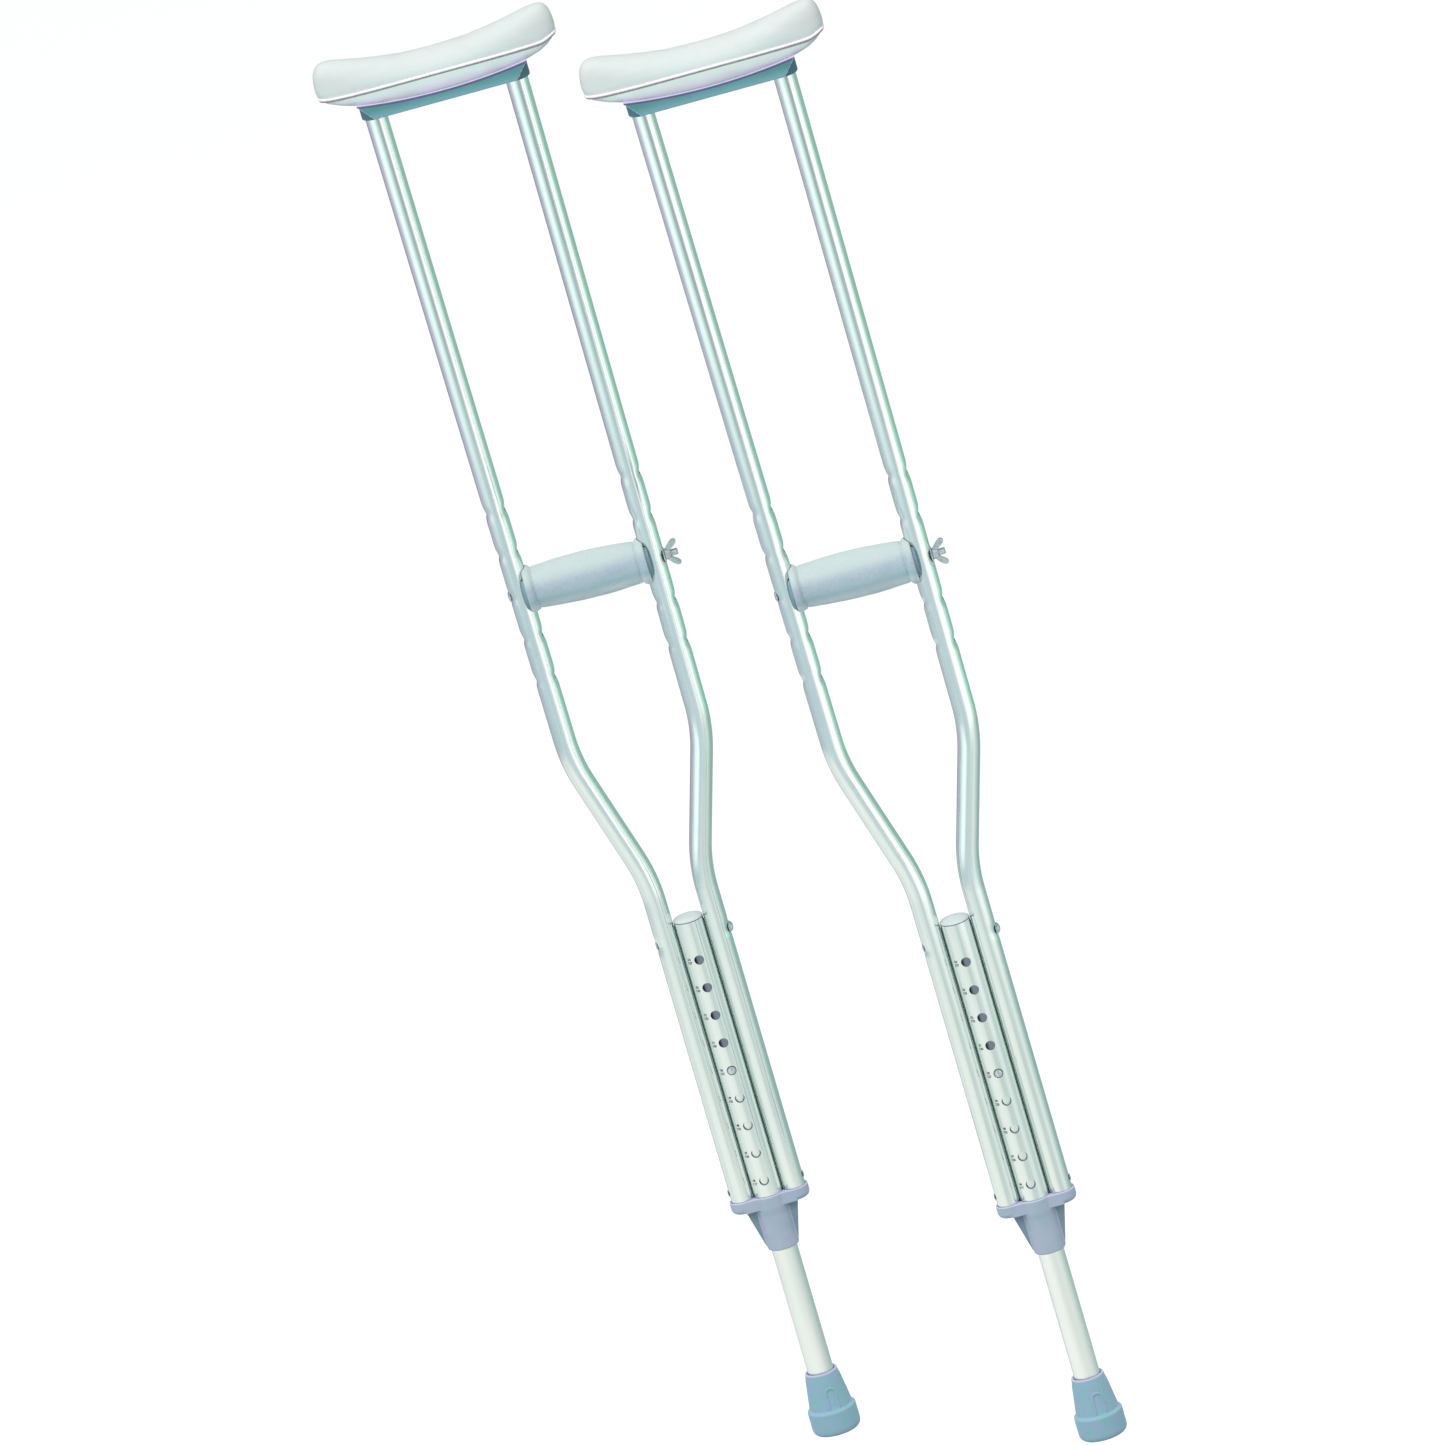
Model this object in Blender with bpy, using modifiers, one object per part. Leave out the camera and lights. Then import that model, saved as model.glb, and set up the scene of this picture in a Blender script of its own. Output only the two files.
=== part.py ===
"""A pair of push-button aluminium underarm crutches, standing upright side by side.

Each crutch is made by the same functions under its own prefix, a_ or b_, in its own coordinates:
X across the crutch, Y from front to back, Z up, with the middle of the tip's foot at the origin.
The pair's origin is on the floor, midway between the two crutches.
"""

import math

import bmesh
import bpy
from mathutils import Matrix, Vector

MM = 0.001

# The pair
CRUTCHES = {"a_": (-112.0, 95.4), "b_": (112.0, -95.4)}
GAP = 0.3  # between pieces that rest on each other

# Tubes, in millimetres: 3/4 in side tubes, a 1 in centre tube and a 7/8 in leg
SIDE_RADIUS = 9.525
CENTRE_RADIUS = 12.7
LEG_RADIUS = 11.1125
WALL = 1.25
TUBE_SIDES = 16
ROUND_STEPS = 20

# Heights above the floor
FOOT_HEIGHT = 20.8
TIP_TOP = 55.4
COLLAR_BOTTOM = 169.5
FLANGE_BOTTOM = 207.5
FLANGE_TOP = 218.6
POCKET_FLOOR = 209.6
YOKE_SCREW_Z = 226.2
BUTTON_Z = 334.7
HOLE_PITCH = 25.4
HOLES_EACH_WAY = 4
TOP_BOLT_Z = 454.0
CENTRE_TOP = 470.3
LOWER_BEND_Z = 513.0
UPPER_BEND_Z = 630.0
GRIP_Z = 783.8
GRIP_PITCH = 38.1
GRIP_HOLES_EACH_WAY = 2
SADDLE_BOTTOM = 1220.8
SOCKET_BOTTOM = 1219.3
TUBE_TOP = 1225.5
SADDLE_TOP = 1228.8  # in the middle; it rises towards both ends

# Distances from the crutch's middle plane
SIDE_X_LOW = 22.55
SIDE_X_BEND = 56.7
SIDE_X_TOP = 60.6
BEND_RADIUS = 150.0
BEND_STEPS = 2

# Pad and saddle
PAD_CAGE_HALF_LENGTH = 103.5  # smoothing brings its ends in a little
PAD_HALF_DEPTH = 22.0
SADDLE_HALF_LENGTH = 72.7
SADDLE_HALF_DEPTH = 17.0
SADDLE_RISE = 5.5
SADDLE_WALL = 2.7
SOCKET_WALL = 2.0
BOARD_HALF_LENGTH = 56.0
BOARD_HALF_DEPTH = 12.0
BOARD_THICKNESS = 4.0
PAD_SCREW_X = 30.0

# Fasteners and the push button
BOLT_RADIUS = 2.4
GRIP_BOLT_RADIUS = 3.0
BUTTON_RADIUS = 3.6
BUTTON_HOLE_RADIUS = 4.1
LEG_ABOVE_BUTTON = 13.0

LEG_INNER = LEG_RADIUS - WALL
CENTRE_INNER = CENTRE_RADIUS - WALL
SIDE_INNER = SIDE_RADIUS - WALL
TIP_FLOOR = 8.4
WASHER_TOP = 10.4
LEG_BOTTOM = WASHER_TOP + GAP

AXES = {
    "+Z": (0, 0, 0),
    "+X": (0, math.radians(90), 0),
    "-X": (0, math.radians(-90), 0),
    "-Y": (math.radians(90), 0, 0),
}

MATERIALS = {
    "vinyl": ((0.86, 0.88, 0.85), 0.45, 0.0),
    "board": ((0.55, 0.42, 0.27), 0.7, 0.0),
    "teal_plastic": ((0.36, 0.53, 0.55), 0.5, 0.0),
    "blue_grey_plastic": ((0.42, 0.49, 0.60), 0.5, 0.0),
    "pale_plastic": ((0.72, 0.78, 0.75), 0.45, 0.0),
    "foam": ((0.68, 0.73, 0.76), 0.85, 0.0),
    "aluminium": ((0.83, 0.85, 0.85), 0.3, 1.0),
    "steel": ((0.62, 0.63, 0.65), 0.35, 1.0),
    "rubber": ((0.33, 0.43, 0.52), 0.8, 0.0),
}


def clear_scene():
    for obj in list(bpy.data.objects):
        bpy.data.objects.remove(obj, do_unlink=True)


def make_collection(name):
    collection = bpy.data.collections.new(name)
    bpy.context.scene.collection.children.link(collection)
    return collection


def make_materials():
    made = {}
    for name, (colour, roughness, metallic) in MATERIALS.items():
        material = bpy.data.materials.new(name)
        material.use_nodes = True
        shader = material.node_tree.nodes["Principled BSDF"]
        shader.inputs["Base Color"].default_value = (*colour, 1)
        shader.inputs["Roughness"].default_value = roughness
        shader.inputs["Metallic"].default_value = metallic
        made[name] = material
    return made


class Crutch:
    """Makes one crutch's objects, all parented to the empty on its own origin."""

    def __init__(self, prefix, place, parts, cutters, materials):
        self.prefix, self.parts, self.cutters, self.materials = prefix, parts, cutters, materials
        self.origin = bpy.data.objects.new(prefix + "origin", None)
        self.origin.location = Vector((*place, 0)) * MM
        parts.objects.link(self.origin)

    def place(self, name, data, material, at=(0, 0, 0), axis="+Z"):
        """A part, or a cutter if it has no material, at a point in the crutch's millimetres."""
        obj = bpy.data.objects.new(self.prefix + name, data)
        (self.parts if material else self.cutters).objects.link(obj)
        obj.parent = self.origin
        obj.location = Vector(at) * MM
        obj.rotation_euler = AXES[axis]
        if material:
            data.materials.append(self.materials[material])
        else:
            obj.hide_render = True
            obj.display_type = "WIRE"
        return obj

    def turned(self, name, material, profile, at=(0, 0, 0), axis="+Z", steps=ROUND_STEPS):
        """A turned piece. Its profile of (radius, height) runs down the outside, and closes on itself
        where it doesn't start on the axis."""
        mesh = bpy.data.meshes.new(self.prefix + name)
        points = [(radius * MM, 0, height * MM) for radius, height in profile]
        edges = [(i, i + 1) for i in range(len(points) - 1)]
        if profile[0][0] > 0:
            edges.append((len(points) - 1, 0))
        mesh.from_pydata(points, edges, [])
        obj = self.place(name, mesh, material, at, axis)
        screw = obj.modifiers.new("turn", "SCREW")
        screw.steps = steps
        screw.render_steps = steps
        screw.use_merge_vertices = True
        screw.merge_threshold = 0.00001
        screw.use_smooth_shade = False
        return obj

    def outline(self, name, material, points, half_thickness, plane="XZ"):
        """A flat outline of (across, up) points, made half_thickness thick to each side of the plane."""
        curve = bpy.data.curves.new(self.prefix + name, "CURVE")
        curve.dimensions = "2D"
        curve.fill_mode = "BOTH"
        curve.extrude = half_thickness * MM
        spline = curve.splines.new("POLY")
        spline.points.add(len(points) - 1)
        for point, (across, up) in zip(spline.points, points):
            point.co = (across * MM, up * MM, 0, 1)
        spline.use_cyclic_u = True
        obj = self.place(name, curve, material)
        turn = 0 if plane == "XZ" else math.radians(90)
        obj.rotation_euler = (math.radians(90), 0, turn)
        return self.as_mesh(obj)

    def as_mesh(self, obj):
        """The same piece as a mesh with its caps welded on, which Booleans need."""
        bpy.context.view_layer.update()
        graph = bpy.context.evaluated_depsgraph_get()
        mesh = bpy.data.meshes.new_from_object(obj.evaluated_get(graph))
        shape = bmesh.new()
        shape.from_mesh(mesh)
        bmesh.ops.remove_doubles(shape, verts=shape.verts, dist=0.00001)
        bmesh.ops.recalc_face_normals(shape, faces=shape.faces)
        shape.to_mesh(mesh)
        shape.free()
        name, collection = obj.name, obj.users_collection[0]
        new = bpy.data.objects.new(name + "_mesh", mesh)
        collection.objects.link(new)
        new.parent = self.origin
        new.location, new.rotation_euler = obj.location, obj.rotation_euler
        new.hide_render, new.display_type = obj.hide_render, obj.display_type
        bpy.data.objects.remove(obj, do_unlink=True)
        new.name = name
        return new

    def rods(self, name, rods, sides=8, material=None):
        """One mesh of straight round rods, each (middle, axis, radius, length)."""
        shape = bmesh.new()
        for middle, axis, radius, length in rods:
            turn = Vector(axis).to_track_quat("Z", "Y").to_matrix().to_4x4()
            spin = Matrix.Rotation(math.pi / sides, 4, "Z")
            bmesh.ops.create_cone(
                shape,
                cap_ends=True,
                segments=sides,
                radius1=radius * MM,
                radius2=radius * MM,
                depth=length * MM,
                matrix=Matrix.Translation(Vector(middle) * MM) @ turn @ spin,
            )
        mesh = bpy.data.meshes.new(self.prefix + name)
        shape.to_mesh(mesh)
        shape.free()
        return self.place(name, mesh, material)


def combine(obj, other, operation="DIFFERENCE"):
    boolean = obj.modifiers.new(operation.lower(), "BOOLEAN")
    boolean.operation = operation
    boolean.solver = "EXACT"
    boolean.object = other


def side_x(height):
    """How far a side tube's axis is from the middle plane, ignoring the rounding of its bends."""
    route = side_corners()
    for (x0, z0), (x1, z1) in zip(route, route[1:]):
        if height <= z1:
            return x0 + (x1 - x0) * (height - z0) / (z1 - z0)
    return route[-1][0]


def side_corners():
    return [
        (SIDE_X_LOW, POCKET_FLOOR + GAP),
        (SIDE_X_LOW, LOWER_BEND_Z),
        (SIDE_X_BEND, UPPER_BEND_Z),
        (SIDE_X_TOP, TUBE_TOP),
    ]


def rounded_route(corners, radius, steps):
    """The corners' route with each inner corner replaced by an arc."""
    route = [Vector(corners[0])]
    for before, corner, after in zip(corners, corners[1:], corners[2:]):
        corner = Vector(corner)
        arrive = (corner - Vector(before)).normalized()
        leave = (Vector(after) - corner).normalized()
        half = arrive.angle(leave) / 2
        tangent = radius * math.tan(half)
        inward = (leave - arrive).normalized()
        centre = corner + inward * radius / math.cos(half)
        start = corner - arrive * tangent - centre
        sign = 1 if arrive.cross(leave) > 0 else -1
        for step in range(steps + 1):
            turn = Matrix.Rotation(sign * 2 * half * step / steps, 2)
            route.append(centre + turn @ start)
    route.append(Vector(corners[-1]))
    return route


def saddle_top(x):
    """The height of the saddle's top, which is a shallow dish along the crutch."""
    return SADDLE_TOP + SADDLE_RISE * (x / SADDLE_HALF_LENGTH) ** 2


def dish_line(half_length, offset, steps=6):
    """Points along the saddle's dish, moved up by offset, from left to right."""
    places = [half_length * (2 * step / steps - 1) for step in range(steps + 1)]
    return [(x, saddle_top(x) + offset) for x in places]


def side_tubes(crutch):
    """Both side tubes: bent 3/4 in tube with the grip's holes, the top bolt's and the yoke screws'."""
    grip_heights = [GRIP_Z + GRIP_PITCH * n for n in range(-GRIP_HOLES_EACH_WAY, GRIP_HOLES_EACH_WAY + 1)]
    for side, sign in (("left", -1), ("right", 1)):
        curve = bpy.data.curves.new(crutch.prefix + "route", "CURVE")
        curve.dimensions = "3D"
        curve.bevel_depth = SIDE_RADIUS * MM
        curve.bevel_resolution = TUBE_SIDES // 2 - 2
        route = rounded_route(side_corners(), BEND_RADIUS, BEND_STEPS)
        spline = curve.splines.new("POLY")
        spline.points.add(len(route) - 1)
        for point, (x, z) in zip(spline.points, route):
            point.co = (sign * x * MM, 0, z * MM, 1)
        tube = crutch.as_mesh(crutch.place(f"side_tube_{side}", curve, "aluminium"))
        shell = tube.modifiers.new("wall", "SOLIDIFY")
        shell.thickness = WALL * MM
        shell.offset = -1
        shell.use_even_offset = True
        holes = [((sign * side_x(z), 0, z), (1, 0, 0), GRIP_BOLT_RADIUS + 0.5, 24) for z in grip_heights]
        holes.append(((sign * SIDE_X_LOW, 0, TOP_BOLT_Z), (1, 0, 0), BOLT_RADIUS + 0.4, 24))
        holes.append(((sign * (SIDE_X_LOW + SIDE_RADIUS), 0, YOKE_SCREW_Z), (1, 0, 0), BOLT_RADIUS, 8))
        combine(tube, crutch.rods(f"side_tube_{side}_holes", holes))


def centre_tube(crutch):
    """The 1 in centre tube with nine push-button holes in its front, and its cap."""
    tube = crutch.turned(
        "centre_tube",
        "aluminium",
        [
            (CENTRE_RADIUS, CENTRE_TOP),
            (CENTRE_RADIUS, POCKET_FLOOR + GAP),
            (CENTRE_INNER, POCKET_FLOOR + GAP),
            (CENTRE_INNER, CENTRE_TOP),
        ],
    )
    heights = [BUTTON_Z + HOLE_PITCH * n for n in range(-HOLES_EACH_WAY, HOLES_EACH_WAY + 1)]
    holes = [((0, -CENTRE_RADIUS, z), (0, 1, 0), BUTTON_HOLE_RADIUS, 8) for z in heights]
    combine(tube, crutch.rods("centre_tube_holes", holes, 10))
    across = [((0, 0, TOP_BOLT_Z), (1, 0, 0), BOLT_RADIUS + 0.4, 40)]
    combine(tube, crutch.rods("centre_tube_bolt_hole", across))
    crutch.turned(
        "centre_cap",
        "pale_plastic",
        [
            (0, CENTRE_TOP + 3.6),
            (10.5, CENTRE_TOP + 2.6),
            (12.6, CENTRE_TOP + 1.2),
            (12.6, CENTRE_TOP + GAP),
            (CENTRE_INNER - GAP, CENTRE_TOP + GAP),
            (CENTRE_INNER - GAP, CENTRE_TOP - 10),
            (9.2, CENTRE_TOP - 10),
            (9.2, CENTRE_TOP - 1),
            (0, CENTRE_TOP - 1),
        ],
        steps=16,
    )


def top_bolt(crutch):
    """The bolt through all three tubes above the holes, with a washer and a domed nut on the right."""
    outside = SIDE_X_LOW + SIDE_RADIUS + GAP
    crutch.turned(
        "top_bolt",
        "steel",
        [
            (0, outside + 2.9),
            (BOLT_RADIUS, outside + 2.5),
            (BOLT_RADIUS, -outside),
            (4.6, -outside),
            (3.6, -outside - 1.0),
            (0, -outside - 1.5),
        ],
        at=(0, 0, TOP_BOLT_Z),
        axis="+X",
        steps=12,
    )
    washer_out = outside + 0.8
    crutch.turned(
        "top_washer",
        "steel",
        [(5.4, washer_out), (5.4, outside), (BOLT_RADIUS + GAP, outside), (BOLT_RADIUS + GAP, washer_out)],
        at=(0, 0, TOP_BOLT_Z),
        axis="+X",
        steps=16,
    )
    nut_in = washer_out + GAP
    bore = 3.2  # across the corners of a six-sided bore
    crutch.turned(
        "top_nut",
        "steel",
        [
            (0, nut_in + 3.4),
            (2.6, nut_in + 3.1),
            (4.6, nut_in + 1.8),
            (4.6, nut_in),
            (bore, nut_in),
            (bore, nut_in + 2.2),
            (0, nut_in + 2.2),
        ],
        at=(0, 0, TOP_BOLT_Z),
        axis="+X",
        steps=6,
    )


def yoke(crutch):
    """The moulding that holds the three tubes' lower ends and guides the leg, and its two screws."""
    flange = [
        (0, FLANGE_TOP),
        (SIDE_RADIUS + 1.9, FLANGE_TOP),
        (SIDE_RADIUS + 1.9, FLANGE_BOTTOM + 3.5),
        (SIDE_RADIUS - 1.2, FLANGE_BOTTOM),
        (0, FLANGE_BOTTOM),
    ]
    collar = crutch.turned(
        "yoke",
        "blue_grey_plastic",
        [
            (0, FLANGE_TOP),
            (14.7, FLANGE_TOP),
            (14.7, FLANGE_BOTTOM),
            (13.9, FLANGE_BOTTOM - 6),
            (13.6, COLLAR_BOTTOM + 0.8),
            (13.0, COLLAR_BOTTOM),
            (0, COLLAR_BOTTOM),
        ],
    )
    for side, sign in (("left", -1), ("right", 1)):
        end = crutch.turned(f"yoke_{side}_end", None, flange, at=(sign * SIDE_X_LOW, 0, 0), steps=TUBE_SIDES)
        combine(collar, end, "UNION")
    half_width = SIDE_RADIUS + 1.6
    band = [
        (-SIDE_X_LOW, FLANGE_BOTTOM + 0.05),
        (SIDE_X_LOW, FLANGE_BOTTOM + 0.05),
        (SIDE_X_LOW, FLANGE_TOP - 0.05),
        (-SIDE_X_LOW, FLANGE_TOP - 0.05),
    ]
    combine(collar, crutch.outline("yoke_band", None, band, half_width), "UNION")
    top, low = FLANGE_BOTTOM + 1, COLLAR_BOTTOM + 4
    rib = [(-22.5, top), (22.5, top), (22.3, top - 2), (14, low), (-14, low), (-22.3, top - 2)]
    combine(collar, crutch.outline("yoke_ribs", None, rib, 4.5), "UNION")
    pockets = [((0, 0, POCKET_FLOOR + 15), (0, 0, 1), CENTRE_RADIUS + GAP, 30)]
    bore = [((0, 0, COLLAR_BOTTOM + 28), (0, 0, 1), CENTRE_INNER, 80)]
    sides = [((sign * SIDE_X_LOW, 0, POCKET_FLOOR + 15), (0, 0, 1), SIDE_RADIUS + GAP, 30) for sign in (-1, 1)]
    combine(collar, crutch.rods("yoke_bore", bore, ROUND_STEPS))
    combine(collar, crutch.rods("yoke_centre_pocket", pockets, ROUND_STEPS))
    combine(collar, crutch.rods("yoke_side_pockets", sides, TUBE_SIDES))
    middle = FLANGE_TOP + 5
    spigots = [((sign * SIDE_X_LOW, 0, middle), (0, 0, 1), SIDE_INNER - 0.4, 30) for sign in (-1, 1)]
    combine(collar, crutch.rods("yoke_spigots", spigots, 12), "UNION")
    pilots = [((sign * 27, 0, YOKE_SCREW_Z), (1, 0, 0), 2.1, 14) for sign in (-1, 1)]
    combine(collar, crutch.rods("yoke_pilots", pilots))
    for side, sign in (("left", -1), ("right", 1)):
        crutch.turned(
            f"yoke_screw_{side}",
            "steel",
            [(0, 1.5), (2.6, 1.2), (3.8, 0.5), (3.8, GAP), (1.6, GAP), (1.6, -9), (0, -10)],
            at=(sign * (SIDE_X_LOW + SIDE_RADIUS), 0, YOKE_SCREW_Z),
            axis="+X" if sign > 0 else "-X",
            steps=12,
        )


def leg(crutch):
    """The 7/8 in leg with its button hole, and the rubber tip with its steel washer."""
    tube = crutch.turned(
        "leg_tube",
        "aluminium",
        [
            (LEG_RADIUS, BUTTON_Z + LEG_ABOVE_BUTTON),
            (LEG_RADIUS, LEG_BOTTOM),
            (LEG_INNER, LEG_BOTTOM),
            (LEG_INNER, BUTTON_Z + LEG_ABOVE_BUTTON),
        ],
    )
    hole = [((0, -LEG_RADIUS, BUTTON_Z), (0, 1, 0), BUTTON_HOLE_RADIUS, 8)]
    combine(tube, crutch.rods("leg_button_hole", hole, 10))
    socket = LEG_RADIUS + GAP + 0.1
    crutch.turned(
        "tip",
        "rubber",
        [
            (14.4, TIP_TOP),
            (18.6, FOOT_HEIGHT + 0.8),
            (20.7, FOOT_HEIGHT - 0.6),
            (20.8, 4.0),
            (18.6, 0),
            (15.6, 0),
            (14.8, 1.6),
            (12.6, 1.6),
            (11.8, 0),
            (8.6, 0),
            (7.8, 1.6),
            (0.0, 1.6),
            (0.0, TIP_FLOOR),
            (socket, TIP_FLOOR),
            (socket, TIP_TOP),
        ],
    )
    crutch.turned(
        "tip_washer",
        "steel",
        [(0, WASHER_TOP), (10.9, WASHER_TOP), (10.9, TIP_FLOOR + GAP), (0, TIP_FLOOR + GAP)],
        steps=20,
    )


def push_button(crutch):
    """The sprung button that locks the leg, and the V-shaped leaf spring behind it."""
    crutch.turned(
        "snap_button",
        "steel",
        [
            (0, 14.7),
            (1.7, 14.3),
            (3.0, 13.3),
            (BUTTON_RADIUS, 11.9),
            (BUTTON_RADIUS, 7.8),
            (4.9, 7.8),
            (4.9, 6.8),
            (0, 6.8),
        ],
        at=(0, 0, BUTTON_Z),
        axis="-Y",
        steps=16,
    )
    thick, half_width = 0.8, 3.5
    front, back, apex = -6.5, 8.6, BUTTON_Z - 42
    outer = [
        (front, BUTTON_Z + 7),
        (front, BUTTON_Z - 8),
        (-1.8, apex + 1.5),
        (0.0, apex),
        (1.8, apex + 1.5),
        (back, BUTTON_Z - 4),
        (back, BUTTON_Z + 7),
    ]
    inner = [
        (back - thick, BUTTON_Z + 7),
        (back - thick, BUTTON_Z - 4),
        (1.1, apex + 2.0),
        (0.0, apex + 1.0),
        (-1.1, apex + 2.0),
        (front + thick, BUTTON_Z - 8),
        (front + thick, BUTTON_Z + 7),
    ]
    crutch.outline("button_spring", "steel", outer + inner, half_width, plane="YZ")


def handgrip(crutch):
    """The foam grip on its core, with the two saddles that hug the side tubes."""
    reach = side_x(GRIP_Z)
    inside = reach - SIDE_RADIUS
    end = inside + 3.6
    crutch_tubes = [
        ((sign * reach, 0, GRIP_Z), (0, 0, 1), SIDE_RADIUS + GAP, 60) for sign in (-1, 1)
    ]
    half = [(0.0, 20.3), (26, 19.4), (43.5, 18.0), (47.5, 20.2), (end, 19.3)]
    outside = [(radius, x) for x, radius in reversed(half)] + [(radius, -x) for x, radius in half[1:]]
    recess, core, seat = 16.8, 9.3, 44.2
    lining = [(recess, -end), (recess, -seat), (core, -seat), (core, seat), (recess, seat), (recess, end)]
    foam = crutch.turned("handgrip", "foam", outside + lining, at=(0, 0, GRIP_Z), axis="+X")
    combine(foam, crutch.rods("grip_copes", crutch_tubes, TUBE_SIDES))
    bolt_hole = GRIP_BOLT_RADIUS + 0.5
    crutch.turned(
        "grip_core",
        "pale_plastic",
        [(core - GAP, seat - GAP), (core - GAP, GAP - seat), (bolt_hole, GAP - seat), (bolt_hole, seat - GAP)],
        at=(0, 0, GRIP_Z),
        axis="+X",
        steps=20,
    )
    for side, sign in (("left", -1), ("right", 1)):
        saddle = crutch.turned(
            f"grip_saddle_{side}",
            "blue_grey_plastic",
            [
                (15.2, reach - 0.5),
                (16.4, reach - 2.0),
                (16.4, seat + GAP),
                (bolt_hole, seat + GAP),
                (bolt_hole, reach - 0.5),
            ],
            at=(0, 0, GRIP_Z),
            axis="+X" if sign > 0 else "-X",
        )
        tube = [((sign * reach, 0, GRIP_Z), (0, 0, 1), SIDE_RADIUS + GAP, 60)]
        combine(saddle, crutch.rods(f"grip_saddle_{side}_cope", tube, TUBE_SIDES))


def grip_bolt(crutch):
    """The bolt that holds the grip, its washer and its wing nut."""
    outside = side_x(GRIP_Z) + SIDE_RADIUS + GAP
    crutch.turned(
        "grip_bolt",
        "steel",
        [
            (0, outside + 11.0),
            (GRIP_BOLT_RADIUS - 0.6, outside + 11.0),
            (GRIP_BOLT_RADIUS, outside + 10.4),
            (GRIP_BOLT_RADIUS, -outside),
            (5.6, -outside),
            (4.4, -outside - 1.2),
            (0, -outside - 1.8),
        ],
        at=(0, 0, GRIP_Z),
        axis="+X",
        steps=12,
    )
    bore = GRIP_BOLT_RADIUS + 0.4
    crutch.turned(
        "grip_washer",
        "steel",
        [(7.0, 1.1), (7.0, 0), (bore, 0), (bore, 1.1)],
        at=(outside, 0, GRIP_Z),
        axis="+X",
        steps=16,
    )
    seat = outside + 1.1 + GAP
    nut = crutch.turned(
        "wing_nut",
        "steel",
        [(4.4, 5.2), (5.2, 1.0), (5.2, 0), (bore, 0), (bore, 5.2)],
        at=(seat, 0, GRIP_Z),
        axis="+X",
        steps=16,
    )
    for name, sign in (("upper", 1), ("lower", -1)):
        wing = [(0.6, 3.9), (4.4, 3.9), (9.6, 7.0), (11.4, 9.4), (10.6, 11.8), (7.6, 12.2), (3.2, 9.0), (0.8, 6.2)]
        points = [(seat + along, GRIP_Z + sign * out) for along, out in wing]
        combine(nut, crutch.outline(f"wing_{name}", None, points, 1.1), "UNION")


def pad_and_saddle(crutch):
    """The saddle across the side tubes, the padded rest on it, the board in the rest, and its screws."""
    slope = [(61.5, SADDLE_BOTTOM), (-61.5, SADDLE_BOTTOM)]
    saddle = crutch.outline(
        "pad_saddle", "teal_plastic", dish_line(SADDLE_HALF_LENGTH, 0) + slope, SADDLE_HALF_DEPTH
    )
    below = [(SADDLE_HALF_LENGTH + 8, SADDLE_TOP - 25), (-SADDLE_HALF_LENGTH - 8, SADDLE_TOP - 25)]
    channel = dish_line(SADDLE_HALF_LENGTH + 8, -3) + below
    combine(saddle, crutch.outline("saddle_channel", None, channel, SADDLE_HALF_DEPTH - SADDLE_WALL))
    socket_top = saddle_top(SIDE_X_TOP) - 1
    middle, height = (SOCKET_BOTTOM + socket_top) / 2, socket_top - SOCKET_BOTTOM
    sockets, pockets = [], []
    for sign in (-1, 1):
        x = sign * SIDE_X_TOP
        sockets.append(((x, 0, middle), (0, 0, 1), SIDE_RADIUS + SOCKET_WALL + GAP, height))
        pockets.append(((x, 0, TUBE_TOP + GAP - 10), (0, 0, 1), SIDE_RADIUS + GAP, 20))
    combine(saddle, crutch.rods("saddle_sockets", sockets, ROUND_STEPS), "UNION")
    combine(saddle, crutch.rods("saddle_pockets", pockets, TUBE_SIDES))
    screws = [((sign * PAD_SCREW_X, 0, SADDLE_TOP), (0, 0, 1), 2.3, 20) for sign in (-1, 1)]
    combine(saddle, crutch.rods("saddle_screw_holes", screws))

    under, over = GAP, GAP + BOARD_THICKNESS
    board_line = dish_line(BOARD_HALF_LENGTH, under) + dish_line(BOARD_HALF_LENGTH, over)[::-1]
    board = crutch.outline("pad_board", "board", board_line, BOARD_HALF_DEPTH)
    combine(board, crutch.rods("board_screw_holes", screws))
    for side, sign in (("left", -1), ("right", 1)):
        head = saddle_top(PAD_SCREW_X) - 3 - GAP
        crutch.turned(
            f"pad_screw_{side}",
            "steel",
            [(0, 7.0), (1.8, 6.4), (1.8, 0), (3.9, 0), (3.4, -1.8), (0, -2.3)],
            at=(sign * PAD_SCREW_X, 0, head),
            steps=12,
        )

    pad = crutch.place("underarm_pad", pad_cage(crutch.prefix), "vinyl")
    soft = pad.modifiers.new("round", "SUBSURF")
    soft.levels = 1
    soft.render_levels = 1
    room = SADDLE_HALF_LENGTH + 1
    rest = dish_line(room, GAP) + [(room, SADDLE_TOP - 15), (-room, SADDLE_TOP - 15)]
    combine(pad, crutch.outline("pad_rest", None, rest, SADDLE_HALF_DEPTH + 1))
    room = BOARD_HALF_LENGTH + GAP
    pocket = dish_line(room, -4) + dish_line(room, over + GAP)[::-1]
    combine(pad, crutch.outline("pad_pocket", None, pocket, BOARD_HALF_DEPTH + GAP))


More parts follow.
